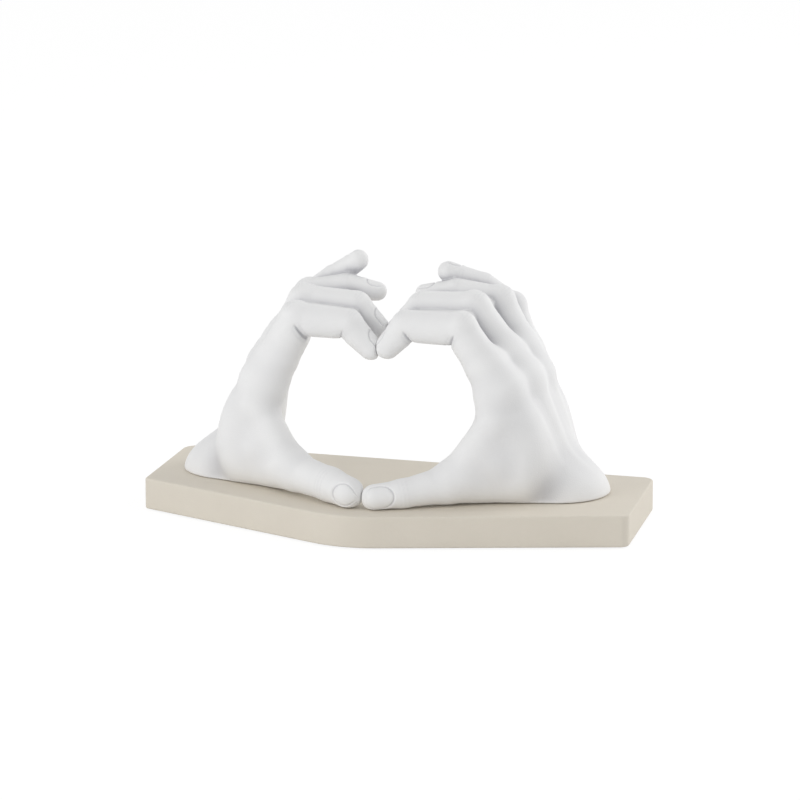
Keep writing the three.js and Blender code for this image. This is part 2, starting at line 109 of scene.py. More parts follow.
STEEPEST = 1.1  # the most that a union's distance changes over a millimetre
CUT_STEEPEST = 1.2
CUT_MARGIN = 16  # how far inside the body a cut or a bore can lie, in millimetres


@dataclass(frozen=True)
class Shape:
    """Anything that gives the distance from points to its surface, negative inside."""

    def distance(self, points: Array) -> Array:
        """Distances in millimetres at an (n, 3) array of points."""
        raise NotImplementedError

    def near(self, centre: Array, reach: float, band: float) -> tuple[float, "Shape"]:
        """What is left of the shape for some points.

        Args:
            centre: the middle of the points.
            reach: how far they lie from it.
            band: how far the whole shape's surface is from them at most.

        Returns:
            The distance at centre, and the shape without the parts that can't matter.
        """
        return float(self.distance(centre[None])[0]), self


@dataclass(frozen=True)
class Rod(Shape):
    """A rod with round ends whose radius runs evenly from start_radius to end_radius."""

    start: Place
    end: Place
    start_radius: float
    end_radius: float

    def distance(self, points: Array) -> Array:
        """Length of p - (start + t * axis), less the radius at t, with t held within 0 and 1."""
        start = np.asarray(self.start, np.float32)
        axis = np.asarray(self.end, np.float32) - start
        away = points - start
        share = np.clip(away @ axis / (axis @ axis), 0, 1)
        away -= share[:, None] * axis
        return lengths(away) - mix(self.start_radius, self.end_radius, share)


@dataclass(frozen=True)
class Ball(Shape):
    """A sphere."""

    centre: Place
    radius: float

    def distance(self, points: Array) -> Array:
        """Length of p - centre, less the radius."""
        return lengths(points - np.asarray(self.centre, np.float32)) - self.radius


@dataclass(frozen=True)
class Ellipsoid(Shape):
    """An ellipsoid with its radii along x, y and z."""

    centre: Place
    radii: Place

    def distance(self, points: Array) -> Array:
        """k (k - 1) / s, with k the length of q = (p - centre) / radii and s that of q / radii."""
        radii = np.asarray(self.radii, np.float32)
        scaled = (points - np.asarray(self.centre, np.float32)) / radii
        reach = np.linalg.norm(scaled, axis=1)
        slope = np.linalg.norm(scaled / radii, axis=1)
        return reach * (reach - 1) / np.maximum(slope, 1e-6)


def rounded_min(first: Array | float, other: Array | float, softness: float) -> Array | float:
    """min(a, b) - h*h*k/4, with h = max(k - |a - b|, 0) / k and k the softness."""
    overlap = np.maximum(softness - np.abs(first - other), 0) / softness
    return np.minimum(first, other) - overlap * overlap * softness / 4


@dataclass(frozen=True)
class Joined(Shape):
    """A union that is rounded off where two surfaces lie within `softness` of each other."""

    softness: float
    parts: tuple[Shape, ...]

    def distance(self, points: Array) -> Array:
        """The rounded minimum, folded over the parts."""
        union = self.parts[0].distance(points)
        for part in self.parts[1:]:
            union = rounded_min(union, part.distance(points), self.softness)
        return union

    def near(self, centre: Array, reach: float, band: float) -> tuple[float, Shape]:
        """As in Shape, without the parts farther off than the nearest or the surface can be."""
        found = [part.near(centre, reach, band + self.softness) for part in self.parts]
        union = found[0][0]
        for distance, _ in found[1:]:
            union = rounded_min(union, distance, self.softness)
        nearest = min(distance for distance, _ in found)
        limit = min(nearest + 2 * STEEPEST * reach, max(nearest, STEEPEST * reach + band))
        kept = tuple(shape for distance, shape in found if distance <= limit + self.softness)
        return float(union), kept[0] if len(kept) == 1 else Joined(self.softness, kept)


@dataclass(frozen=True)
class Cut(Shape):
    """A shape kept above a floor and beyond a leaning wall, with soft edges, bored from below."""

    body: Shape
    floor: float
    lean: float
    level: float
    softness: float
    bores: tuple[tuple[float, float], ...]
    bore_radius: float
    bore_top: float

    def distance(self, points: Array) -> Array:
        """The rounded maximum of the body, floor - z, lean * (level - z) - x and each bore, negated."""
        kept = self.body.distance(points)
        wall = self.lean * (self.level - points[:, 2])
        outsides = [self.floor - points[:, 2], wall - points[:, 0]]
        for x, y in self.bores:
            radial = np.hypot(points[:, 0] - x, points[:, 1] - y) - self.bore_radius
            outsides.append(-np.maximum(radial, points[:, 2] - self.bore_top))
        for outside in outsides:
            kept = -rounded_min(-kept, -outside, self.softness)
        return kept

    def near(self, centre: Array, reach: float, band: float) -> tuple[float, Shape]:
        """The body's distance at centre, and the same cut of the body's near parts."""
        band = max(band, CUT_STEEPEST * reach + CUT_MARGIN)
        distance, body = self.body.near(centre, reach, band)
        return distance, replace(self, body=body)


TETRAHEDRON = np.array([[1, -1, -1], [-1, -1, 1], [-1, 1, -1], [1, 1, 1]], np.float32)
KEY_SPAN = 4096  # more blocks than there are along any axis


class Blocks:
    """Sorts points into blocks of space, and keeps for each block the parts that matter there."""

    def __init__(
        self, shape: Shape, points: Array, band: float, block: float = 22.0, spare: float = 0.8
    ) -> None:
        """Sorts the points.

        Args:
            shape: the shape to measure.
            points: an (n, 3) array of places.
            band: how far its surface is from them at most, in millimetres.
            block: edge of a block in millimetres.
            spare: how far the points may move later, in millimetres.
        """
        self.count = len(points)
        cells = np.floor(points / block).astype(np.int64)
        keys = (cells[:, 0] * KEY_SPAN + cells[:, 1]) * KEY_SPAN + cells[:, 2]
        order = np.argsort(keys, kind="stable")
        splits = np.flatnonzero(np.diff(keys[order])) + 1
        self.members = np.split(order, splits)
        self.shapes = []
        for members in self.members:
            low, high = points[members].min(0), points[members].max(0)
            middle = ((low + high) / 2).astype(np.float32)
            reach = float(np.linalg.norm(high - middle)) + spare
            self.shapes.append(shape.near(middle, reach, band)[1])

    def distances(self, points: Array) -> Array:
        """The distances at the points, or at places near them in the same order."""
        points = points.astype(np.float32)
        found = np.empty(self.count, np.float32)
        for members, shape in zip(self.members, self.shapes):
            found[members] = shape.distance(points[members])
        return found

    def slopes(self, points: Array, probe: float = 0.05) -> Array:
        """The gradient: the sum of k_i f(p + probe k_i) / (4 probe) over four corners k_i."""
        found = np.zeros(points.shape, np.float32)
        for corner in TETRAHEDRON:
            found += corner * self.distances(points + probe * corner)[:, None]
        return found / (4 * probe)

    def settled(self, points: Array, reach: float, steps: int = 2) -> Array:
        """The points moved onto the surface by steps p - f g / (g.g) with g the slope at the start.

        Args:
            points: an (n, 3) array.
            reach: longest step in millimetres.
            steps: number of steps.

        Returns:
            The moved points.
        """
        slope = self.slopes(points)
        steep = np.maximum(np.einsum("ij,ij->i", slope, slope), 0.1)
        for _ in range(steps):
            move = -slope * (self.distances(points) / steep)[:, None]
            length = np.linalg.norm(move, axis=1, keepdims=True)
            points = points + move * np.minimum(1, reach / np.maximum(length, 1e-9))
        return points


# ---- A closed mesh round a shape ----

CORNERS = np.array([[c & 1, (c >> 1) & 1, (c >> 2) & 1] for c in range(8)])
CELL_EDGES = [(c, c | bit) for c in range(8) for bit in (1, 2, 4) if not c & bit]


def hangs_together(mask: int) -> bool:
    """Whether the chosen corners of a cube can all be reached from one another along its edges."""
    chosen = [c for c in range(8) if mask >> c & 1]
    reached = set(chosen[:1])
    for _ in chosen:
        for a, b in CELL_EDGES:
            if mask >> a & 1 and mask >> b & 1 and (a in reached or b in reached):
                reached |= {a, b}
    return len(reached) == len(chosen)


ONE_SHEET = np.array([hangs_together(m) and hangs_together(255 - m) for m in range(256)])


def cell_masks(values: Array) -> Array:
    """For each cell of a grid, the bits of its corners that lie inside the shape."""
    inside = values < 0
    nx, ny, nz = (n - 1 for n in values.shape)
    masks = np.zeros((nx, ny, nz), np.uint8)
    for bit, (i, j, k) in enumerate(CORNERS):
        masks |= inside[i : i + nx, j : j + ny, k : k + nz].astype(np.uint8) << bit
    return masks


@dataclass
class SkinMesher:
    """Lays a grid over a shape and makes one closed mesh of its surface.

    Each cell that the surface passes through gets one vertex, each grid edge that it crosses gets
    one quad, and slots too narrow for the grid are filled, so that no two sheets share a vertex.
    """

    shape: Shape
    low: Array
    high: Array
    step: float
    coarse: int = 4
    farthest: float = 200.0  # no place of the grid is farther from the surface

    def sampled(self) -> Array:
        """The distances on the grid: exact near the surface, from a coarse grid elsewhere."""
        size = np.ceil((self.high - self.low) / self.step).astype(int) + 1
        wide = self.step * self.coarse
        count = np.ceil(size / self.coarse).astype(int) + 1
        nodes = np.stack(np.meshgrid(*[np.arange(n) for n in count], indexing="ij"), -1)
        rough_places = nodes.reshape(-1, 3) * wide + self.low
        rough = Blocks(self.shape, rough_places, self.farthest, 24.0).distances(rough_places)
        nearest = [
            np.minimum((np.arange(n) + self.coarse // 2) // self.coarse, count[a] - 1)
            for a, n in enumerate(size)
        ]
        values = rough.reshape(count)[np.ix_(*nearest)].astype(np.float32)
        close = np.argwhere(np.abs(values) < 1.25 * wide)
        places = close * self.step + self.low
        values[tuple(close.T)] = Blocks(self.shape, places, 1.5 * wide).distances(places)
        return values

    def one_sheet(self, values: Array) -> Array:
        """The distances with a corner filled in wherever two sheets would share a cell."""
        while True:
            cells = np.argwhere(~ONE_SHEET[cell_masks(values)])
            if not len(cells):
                return values
            corners = cells[:, None] + CORNERS
            around = values[tuple(np.moveaxis(corners, -1, 0))]
            nearest = np.where(around < 0, np.inf, around).argmin(1)
            picked = corners[np.arange(len(cells)), nearest]
            values[tuple(picked.T)] = -0.05 * self.step

    def vertices(self, values: Array) -> tuple[Array, Array]:
        """One vertex in each cell that the surface crosses, at the mean of its edge crossings.

        Args:
            values: the distances on the grid.

        Returns:
            The vertices, and for each cell the number of its vertex or -1.
        """
        masks = cell_masks(values)
        active = (masks > 0) & (masks < 255)
        cells = np.argwhere(active)
        numbers = np.full(active.shape, -1, np.int64)
        numbers[active] = np.arange(len(cells))
        corner_values = values[tuple(np.moveaxis(cells[:, None] + CORNERS, -1, 0))]
        total = np.zeros((len(cells), 3))
        crossings = np.zeros(len(cells))
        for a, b in CELL_EDGES:
            start, end = corner_values[:, a], corner_values[:, b]
            crossed = (start < 0) != (end < 0)
            share = (start[crossed] / (start[crossed] - end[crossed]))[:, None]
            total[crossed] += CORNERS[a] + (CORNERS[b] - CORNERS[a]) * share
            crossings[crossed] += 1
        places = (cells + total / crossings[:, None]) * self.step + self.low
        return places.astype(np.float32), numbers

    def quads(self, values: Array, numbers: Array) -> Array:
        """A quad round each grid edge that the surface crosses, facing out."""
        inside = values < 0
        found = []
        for axis in range(3):
            u, v = (axis + 1) % 3, (axis + 2) % 3
            here = np.moveaxis(inside, axis, 0)
            crossed = np.argwhere(here[:-1] != here[1:])
            edges = np.empty_like(crossed)
            edges[:, axis] = crossed[:, 0]
            edges[:, [a for a in range(3) if a != axis]] = crossed[:, 1:]
            from_inside = inside[tuple(edges.T)]
            ring = []
            for du, dv in ((1, 1), (0, 1), (0, 0), (1, 0)):
                cell = edges.copy()
                cell[:, u] -= du
                cell[:, v] -= dv
                ring.append(numbers[tuple(cell.T)])
            ring = np.stack(ring, 1)
            ring[~from_inside] = ring[~from_inside][:, ::-1]
            found.append(ring)
        return np.concatenate(found)

    def mesh(self) -> tuple[Array, Array]:
        """Vertices on the surface and triangles, each quad cut along its shorter diagonal."""
        values = self.one_sheet(self.sampled())
        places, numbers = self.vertices(values)
        quads = self.quads(values, numbers)
        places = Blocks(self.shape, places, 1.0).settled(places, 0.45 * self.step)
        a, b, c, d = (places[quads[:, i]] for i in range(4))
        even = np.linalg.norm(a - c, axis=1) < np.linalg.norm(b - d, axis=1)
        split = np.where(even[:, None], quads[:, [0, 1, 2, 0, 2, 3]], quads[:, [0, 1, 3, 1, 2, 3]])
        return places, split.reshape(-1, 3)


def refined(places: Array, triangles: Array, chosen: Array) -> tuple[Array, Array, int]:
    """Halves each edge whose two ends are chosen, and cuts the triangles on it to match.

    Args:
        places: an (n, 3) array of vertices.
        triangles: an (m, 3) array of vertex numbers.
        chosen: n truth values.

    Returns:
        The vertices with the new ones at the end, the triangles, and how many vertices are old.
    """
    sides = np.stack([triangles, np.roll(triangles, -1, 1)], -1)
    ordered = np.sort(sides, -1).reshape(-1, 2)
    edges, which = np.unique(ordered, axis=0, return_inverse=True)
    halved = chosen[edges[:, 0]] & chosen[edges[:, 1]]
    number = np.full(len(edges), -1, np.int64)
    number[halved] = len(places) + np.arange(halved.sum())
    middles = (places[edges[halved, 0]] + places[edges[halved, 1]]) / 2
    new = number[which.reshape(-1)].reshape(-1, 3)
    count = (new >= 0).sum(1)
    made = [triangles[count == 0]]
    for rows, odd in ((count == 1, True), (count == 2, False)):
        corners, middle = triangles[rows], new[rows]
        # Turned so that the side which differs from the other two comes first
        first = ((middle >= 0) == odd).argmax(1)
        turn = (first[:, None] + np.arange(3)) % 3
        (a, b, c) = np.take_along_axis(corners, turn, 1).T
        (ab, bc, ca) = np.take_along_axis(middle, turn, 1).T
        if odd:
            made += [np.stack([a, ab, c], 1), np.stack([ab, b, c], 1)]
        else:
            made += [np.stack(x, 1) for x in ([c, ca, bc], [a, b, bc], [a, bc, ca])]
    (a, b, c), (ab, bc, ca) = triangles[count == 3].T, new[count == 3].T
    made += [np.stack(x, 1) for x in ([a, ab, ca], [ab, b, bc], [ca, bc, c], [ab, bc, ca])]
    return np.concatenate([places, middles]), np.concatenate(made), len(places)


# ---- The shape of a hand ----

PAD_OFFSETS = (1.0, 0.8, 1.2)  # how far each finger pad lies from the bone, on the palm side
PAD_SHARE = 0.9  # of the finger's flesh
PAD_SPANS = ((0.45, 0.8), (0.28, 0.74), (0.4, 0.95))  # where each starts and ends along the bone
BONE_TAPER = 0.97
KNUCKLE_OFFSET = 1.6
KNUCKLE_SHARE = 0.86
MEETING_LEAN = 0.0285  # how far the plane where the hands meet leans to the left, per mm of height
MEETING_LEVEL = 39.4  # height at which it crosses the middle

# Radii of the flesh at the start and the end of the rods that tie fingers and bones together
WEB_FLESH = (8.3, 8)
WEB_SHARE = 0.34  # where a web lies on the first phalanges
KNUCKLE_WEB_FLESH = (8.4, 8)
BACK_FLESH = (7.6, 7.6)
BACK_START = 0.4  # where the fill between two bones of the back starts
CONTACT_FLESH = (4.4, 3.2)

HEEL = Ellipsoid((88, 54, -2), (19.2, 22, 16.5))
LITTLE_SIDE_PAD = Ellipsoid((72.3, 71, 25), (8.7, 11.5, 20))
THUMB_PAD = Ellipsoid((69, 30, 24), (12, 12, 20))
THUMB_WEBS = (
    Rod((43.6, 15, 16), (58.8, 21, 41.5), 8.5, 6.9),
    Rod((58.8, 21, 41.5), (56.4, 23, 50.5), 6.9, 7.4),
    Rod((56, 22, 22), (63.3, 28, 40), 10.5, 8.6),
)


@dataclass(frozen=True)
class Softness:
    """How near two parts of a hand have to be to flow into each other, in millimetres."""

    finger_pad: float = 1.6
    knuckle: float = 2.5
    joint: float = 0.9
    thumb_joint: float = 2.5
    thumb_pad: float = 10
    thumb_webs: float = 6
    thumb_root: float = 7
    metacarpals: float = 7.5
    palm: float = 5
    heel: float = 13.5
    little_side: float = 8
    thumb: float = 8
    neighbours: float = 0.8
    fingers: float = 6
    cut: float = 0.9


SOFT = Softness()


@dataclass(frozen=True)
class Nail:
    """A nail: how long and wide it is, and how far its free edge lies past the tip's centre."""

    length: float
    width: float
    reach: float


@dataclass(frozen=True)
class Finger:
    """A finger by its knuckle, middle joint, end joint and tip, and the flesh's radius at each."""

    joints: tuple[Place, Place, Place, Place]
    flesh: tuple[float, float, float, float]
    nail: Nail
    creases: tuple[float, float] = (0.5, 0.42)  # how deep those of the middle and end joint are

    def directions(self) -> Array:
        """Unit vectors along the three phalanges."""
        return unit(np.diff(np.array(self.joints, float), axis=0))

    def palm_sides(self) -> Array:
        """For each phalanx, the unit vector to the inside of the curl: hinge x direction."""
        ways = self.directions()
        hinge = unit(np.cross(ways[0], ways[2]))
        return np.cross(hinge, ways)

    def shape(self) -> Shape:
        """Three rods with a pad of flesh under each, and a bony knuckle on the middle joint."""
        palm = self.palm_sides()
        phalanges = []
        for i in range(3):
            start, end = self.joints[i], self.joints[i + 1]
            radii = (self.flesh[i] * (1 if i == 0 else BONE_TAPER), self.flesh[i + 1])
            low, high = PAD_SPANS[i]
            pad = Rod(
                between(start, end, low) + palm[i] * PAD_OFFSETS[i],
                between(start, end, high) + palm[i] * PAD_SHARE * PAD_OFFSETS[i],
                PAD_SHARE * mix(*radii, low),
                PAD_SHARE * mix(*radii, high),
            )
            phalanges.append(Joined(SOFT.finger_pad, (Rod(start, end, *radii), pad)))
        bony = np.array(self.joints[1]) - KNUCKLE_OFFSET * unit(palm[0] + palm[1])
        knuckle = Ball(bony, self.flesh[1] * KNUCKLE_SHARE)
        phalanges[0] = Joined(SOFT.knuckle, (phalanges[0], knuckle))
        return Joined(SOFT.joint, tuple(phalanges))


@dataclass(frozen=True)
class Thumb:
    """A thumb by its root, knuckle, end joint and tip, the flesh at each, and where its nail faces."""

    joints: tuple[Place, Place, Place, Place]
    flesh: tuple[float, float, float, float]
    nail: Nail
    nail_side: Place

    def shape(self) -> Shape:
        """Three rods with the ball of the thumb and the web that ties it to the palm."""
        bones = tuple(
            Rod(self.joints[i], self.joints[i + 1], self.flesh[i], self.flesh[i + 1])
            for i in range(3)
        )
        fleshed = Joined(SOFT.thumb_pad, (Joined(SOFT.thumb_joint, bones), THUMB_PAD))
        return Joined(SOFT.thumb_root, (fleshed, Joined(SOFT.thumb_webs, THUMB_WEBS)))


@dataclass(frozen=True)
class Hand:
    """A hand by its digits. The left one is described as if it were mirrored to the right."""

    name: str
    side: int
    fingers: tuple[Finger, Finger, Finger, Finger]
    thumb: Thumb
    wrist: tuple[Place, ...] = ((79.5, 41, 0), (84, 50, 0), (85, 60, 0), (82, 68, 0))
    wrist_flesh: float = 10.9
    palm_flesh: float = 10.2
    screws: tuple[tuple[float, float], ...] = ((88, 57), (63, 31.5))

    def neighbours(self) -> list[tuple[Finger, Finger]]:
        """The pairs of fingers that lie beside each other."""
        return list(zip(self.fingers, self.fingers[1:]))

    def palm(self) -> Shape:
        """Rods from the wrist to the knuckles and between them, the webs, and two pads."""
        bones = [
            Rod(start, f.joints[0], self.wrist_flesh, min(f.flesh[0], self.palm_flesh))
            for start, f in zip(self.wrist, self.fingers)
        ]
        starts = [between(a, b, 0.5) for a, b in zip(self.wrist, self.wrist[1:])]
        ends = [between(a.joints[0], b.joints[0], 0.5) for a, b in self.neighbours()]
        fills = [
            Rod(between(start, end, BACK_START), end, *BACK_FLESH) for start, end in zip(starts, ends)
        ]
        webs = [
            Rod(*(between(*finger.joints[:2], WEB_SHARE) for finger in pair), *WEB_FLESH)
            for pair in self.neighbours()
        ]
        knuckles = [Rod(a.joints[0], b.joints[0], *KNUCKLE_WEB_FLESH) for a, b in self.neighbours()]
        back = Joined(SOFT.metacarpals, (*bones, *fills))
        body = Joined(SOFT.palm, (back, *webs, *knuckles))
        return Joined(SOFT.little_side, (Joined(SOFT.heel, (body, HEEL)), LITTLE_SIDE_PAD))

    def contacts(self) -> list[Shape]:
        """Rods that fill in between fingers which lie against each other."""
        return [
            Rod(*(between(a.joints[i], b.joints[i], 0.5) for i in (1, 2)), *CONTACT_FLESH)
            for a, b in self.neighbours()
        ]

    def shape(self) -> Shape:
        """The whole hand, cut flat where it stands and where it meets the other hand."""
        fingers = Joined(SOFT.neighbours, (*(f.shape() for f in self.fingers), *self.contacts()))
        body = Joined(SOFT.thumb, (self.palm(), self.thumb.shape()))
        return Cut(
            body=Joined(SOFT.fingers, (fingers, body)),
            floor=GAP,
            lean=self.side * MEETING_LEAN,
            level=MEETING_LEVEL,
            softness=SOFT.cut,
            bores=self.screws,
            bore_radius=3.8,
            bore_top=8.6,
        )


RIGHT_HAND = Hand(
    name="right_hand",
    side=1,
    fingers=(
        Finger(
            ((61, 26, 55), (40.5, 26, 83.2), (13.5, 27, 83), (3.6, 27, 71.8)),
            (9.1, 8.2, 7.5, 5.4),
            Nail(9.6, 9.0, 2.4),
            (0.8, 0.9),
        ),
        Finger(
            ((65, 45, 56), (41.5, 45, 89), (16.4, 45, 88.5), (4.2, 45, 76.8)),
            (10.4, 8.8, 7.7, 5.6),
            Nail(9.8, 9.2, 2.6),
        ),
        Finger(
            ((65.8, 63, 54.5), (49, 63.5, 89.2), (28, 64, 92.8), (11.6, 64, 91.2)),
            (9.8, 8.2, 6.7, 4.3),
            Nail(8.8, 7.8, 2.6),
        ),
        Finger(
            ((63.4, 77.5, 51), (51.4, 79, 84.2), (38.3, 75, 95.1), (22, 69.5, 101.8)),
            (8.3, 7, 5.8, 4.7),
            Nail(8.0, 7.2, 2.6),
        ),
    ),
    thumb=Thumb(
        ((66, 33, 12), (37.5, 13, 10), (19, 1.5, 6.9), (7, -4, 5.5)),
        (14, 9, 6.7, 6.4),
        Nail(13.2, 13.0, 4.6),
        (0.28, -0.93, 0.16),
    ),
)

LEFT_HAND = Hand(
    name="left_hand",
    side=-1,
    fingers=(
        Finger(
            ((57.5, 26, 52), (40.8, 26, 83.4), (15.4, 27, 82.2), (3.6, 27, 70.6)),
            (10.4, 8.2, 7.2, 5.2),
            Nail(9.6, 9.0, 2.4),
            (0.95, 0.5),
        ),
        Finger(
            ((60.6, 45, 55), (42.3, 45, 87.4), (17, 45, 86.8), (6, 45, 76.8)),
            (10, 8.7, 7.7, 5.7),
            Nail(9.8, 9.2, 2.6),
        ),
        Finger(
            ((64, 63, 55), (45.8, 64, 87), (27, 64, 92.2), (11.4, 64, 91.1)),
            (9.6, 8.2, 6.7, 4.1),
            Nail(8.8, 7.8, 2.6),
        ),
        Finger(
            ((67.6, 77, 51), (51, 79, 83), (38, 75, 94.3), (23, 69.5, 105)),
            (8.2, 7.2, 5.8, 4.6),
            Nail(8.0, 7.2, 2.6),
        ),
    ),
    thumb=Thumb(
        ((66, 33, 12), (37.5, 13, 10.8), (17, 1.5, 9), (6, -4, 7)),
        (14, 9.2, 8, 7.6),
        Nail(11.0, 13.4, 7.8),
        (-0.12, -0.99, 0.0),
    ),
)


# ---- What the modeller pressed into the skin ----


class Relief:
    """A height to add along the skin's normal, in millimetres, and where the mesh has to be finer."""

    def height(self, points: Array) -> Array:
        """Heights at an (n, 3) array of points of the skin."""
        raise NotImplementedError

    def busy(self, points: Array) -> Array:
        """Whether each point lies where the height changes quickly."""
        return np.zeros(len(points), bool)


@dataclass(frozen=True)
class NailRelief(Relief):
    """A nail plate with a groove round it and a fold of skin along its sides and its root."""

    tip: Array
    way: Array
    side: Array
    radius: float
    nail: Nail
    plate: float = 0.16
    bend: float = 0.12  # how far the plate sinks towards its root
    groove: float = 0.42
    groove_width: float = 0.42
    open_groove: float = 0.2  # share of the groove that is left at the free edge
    fold: float = 0.2
    fold_place: float = 1.15
    fold_width: float = 0.95
    tip_corner: float = 0.30  # radii of the outline's corners, in nail widths
    root_corner: float = 0.62
    reach: float = 2.2  # how far from the tip the nail can lie, in nail lengths

    def outline(self, points: Array) -> tuple[Array, Array, Array]:
        """Where points lie from the nail's outline.

        The finger's skin is unrolled about its bone: x runs along the bone from the middle of the
        nail, y is the radius times the angle from the nail's side. The outline is a box in x and y
        with wide round corners at the root and small ones at the free edge.

        Args:
            points: an (n, 3) array of places on the skin.

        Returns:
            The signed distance to the outline, x, and whether the point is near and on its side.
        """
        away = points - self.tip
        along = away @ self.way
        x = along - (self.nail.reach - self.nail.length / 2)
        across = np.cross(self.way, self.side)
        angle = np.arctan2(away @ across, away @ self.side)
        y = np.abs(angle) * self.radius
        corner = np.where(x > 0, self.tip_corner, self.root_corner) * self.nail.width
        corner = np.minimum(corner, self.nail.width / 2)
        qx = np.abs(x) - self.nail.length / 2 + corner
        qy = y - self.nail.width / 2 + corner
        outside = np.hypot(np.maximum(qx, 0), np.maximum(qy, 0))
        edge = np.minimum(np.maximum(qx, qy), 0) + outside - corner
        near = np.linalg.norm(away, axis=1) < self.reach * self.nail.length
        return edge, x, near & (np.abs(angle) < 1.5)

    def height(self, points: Array) -> Array:
        """The plate, minus a narrow groove on the outline, plus a fold outside but for the tip."""
        edge, x, near = self.outline(points)
        half = self.nail.length / 2
        rear = 1 - ramp(x, half / 2, half)
        plate = self.plate * (1 - ramp(edge, -1.1, -0.2)) - self.bend * ramp(-x, 0, half) * (edge < 0)
        groove = self.groove * bell(edge, self.groove_width)
        groove = groove * (self.open_groove + (1 - self.open_groove) * rear)
        fold = self.fold * bell(edge - self.fold_place, self.fold_width) * (edge > -0.2) * rear
        return np.where(near, plate - groove + fold, 0)

    def busy(self, points: Array) -> Array:
        """Within a millimetre or so of the outline."""
        edge, _, near = self.outline(points)
        return near & (np.abs(edge - 0.2) < 1.3)


@dataclass(frozen=True)
class CreaseRelief(Relief):
    """A crease across a joint on one side of it, with fainter ones beside it."""

    joint: Array
    across: Array  # normal of the plane that the crease lies in
    side: Array  # side of the joint that is creased
    radius: float
    depth: float
    width: float = 0.5
    spacing: float = 1.7
    reach: float = 0.15  # cosine at which the crease has run out round the finger
    beside: float = 0.4

    def parts(self, points: Array) -> tuple[Array, Array]:
        """How far each point lies along the bone, and how much it is on the creased side."""
        away = points - self.joint
        along = away @ self.across
        radial = away - along[:, None] * self.across
        length = np.maximum(np.linalg.norm(radial, axis=1), 1e-6)
        share = ramp(radial @ self.side / length, self.reach, self.reach + 0.45)
        return along, share * (1 - ramp(length, 1.35 * self.radius, 1.7 * self.radius))

    def height(self, points: Array) -> Array:
        """Minus a bell on the plane and fainter ones at one spacing either way, where it is creased."""
        along, share = self.parts(points)
        lines = bell(along, self.width)
        for place in (-self.spacing, self.spacing):
            lines = lines + self.beside * bell(along - place, self.width * 0.8)
        return -self.depth * lines * share

    def busy(self, points: Array) -> Array:
        """Within a millimetre of the main line, on the creased side."""
        along, share = self.parts(points)
        return (np.abs(along) < 1.1) & (share > 0.05) & (self.depth > 0.3)


@dataclass(frozen=True)
class RidgeRelief(Relief):
    """A tendon under the skin: a soft ridge along a line, on one side of it."""

    start: Array
    end: Array
    side: Array
    rise: float
    width: float
    fade: tuple[float, float] = (0.15, 0.95)

    def height(self, points: Array) -> Array:
        """A bell of the distance from the plane through the line and the side, faded at both ends."""
        axis = self.end - self.start
        share = (points - self.start) @ axis / (axis @ axis)
        out = unit(self.side - unit(axis) * (self.side @ unit(axis)))
        away = points - self.start - share[:, None] * axis
        sideways = away @ np.cross(unit(axis), out)
        facing = ramp(away @ out, 0, 5)
        low, high = self.fade
        along = ramp(share, low - 0.15, low + 0.15) * (1 - ramp(share, high - 0.12, high + 0.12))
        return self.rise * bell(sideways, self.width) * facing * along


@dataclass(frozen=True)
class HollowRelief(Relief):
    """A soft hollow, or a swelling if its depth is negative."""

    centre: Array
    radii: Array
    depth: float

    def height(self, points: Array) -> Array:
        """Minus depth times exp(-|(p - centre) / radii|^2)."""
        scaled = (points - self.centre) / self.radii
        return -self.depth * np.exp(-np.einsum("ij,ij->i", scaled, scaled))


@dataclass(frozen=True)
class PalmLineRelief(Relief):
    """A line of the palm, drawn by its points (y, z) as seen from the other hand."""

    line: tuple[tuple[float, float], ...]
    depth: float
    width: float = 0.75
    bones: tuple[float, float] = (83, 0.33)  # the plane through them: x = 83 - 0.33 z

    def away(self, points: Array) -> tuple[Array, Array]:
        """The distance to the line in the (y, z) plane, and how far along it the nearest place is."""
        flat = points[:, 1:]
        nearest = np.full(len(points), np.inf)
        along = np.zeros(len(points))
        count = len(self.line) - 1
        for i in range(count):
            start, end = np.array(self.line[i]), np.array(self.line[i + 1])
            axis = end - start
            share = np.clip((flat - start) @ axis / (axis @ axis), 0, 1)
            distance = np.linalg.norm(flat - start - share[:, None] * axis, axis=1)
            along = np.where(distance < nearest, (i + share) / count, along)
            nearest = np.minimum(nearest, distance)
        return nearest, along

    def height(self, points: Array) -> Array:
        """Minus a bell of the distance to the line, thinning out towards both ends."""
        nearest, along = self.away(points)
        taper = np.sqrt(np.clip(4 * along * (1 - along), 0, 1))
        level, lean = self.bones
        palm = 1 - ramp(points[:, 0] - (level - lean * points[:, 2]), -5, -1)
        return -self.depth * bell(nearest, self.width) * taper * palm


NAIL_RISE = 0.6  # how far a nail lies out from the rod of its finger
THUMB_NAIL_RISE = 0.4
INNER_CREASE = {"width": 0.55, "spacing": 1.9, "reach": 0.1, "beside": 0.2}
BACK_CREASE = {"depth": 0.13, "width": 0.42, "spacing": 1.5, "reach": 0.45, "beside": 0.8}
THUMB_BACK_CREASE = {"depth": 0.12, "width": 0.5, "spacing": 1.9, "reach": 0.2, "beside": 0.9}
THUMB_CREASE = {"depth": 0.4, "reach": 0.1}
TENDON_RISES = (0.2, 0.3, 0.25, 0.15)  # from the index finger's to the little finger's
TENDON_WIDTH = 2.8
BACK_WAY = np.array([0.93, 0.05, 0.36])  # out of the back of the hand
PALM_LINES = (
    PalmLineRelief(((79, 45), (70, 46.5), (60, 46), (48, 44), (38, 40), (27, 37)), 0.45),
    PalmLineRelief(((24, 39), (34, 37), (44, 32), (56, 26), (66, 22)), 0.45),
    PalmLineRelief(((24, 37), (33, 34), (40, 27), (44, 18), (46, 8)), 0.55),
)
# Between the heel and the ball of the thumb
VALLEY = HollowRelief(np.array([82.0, 29, 6]), np.array([7.0, 8, 9]), 1.2)


# ---- Finishes ----

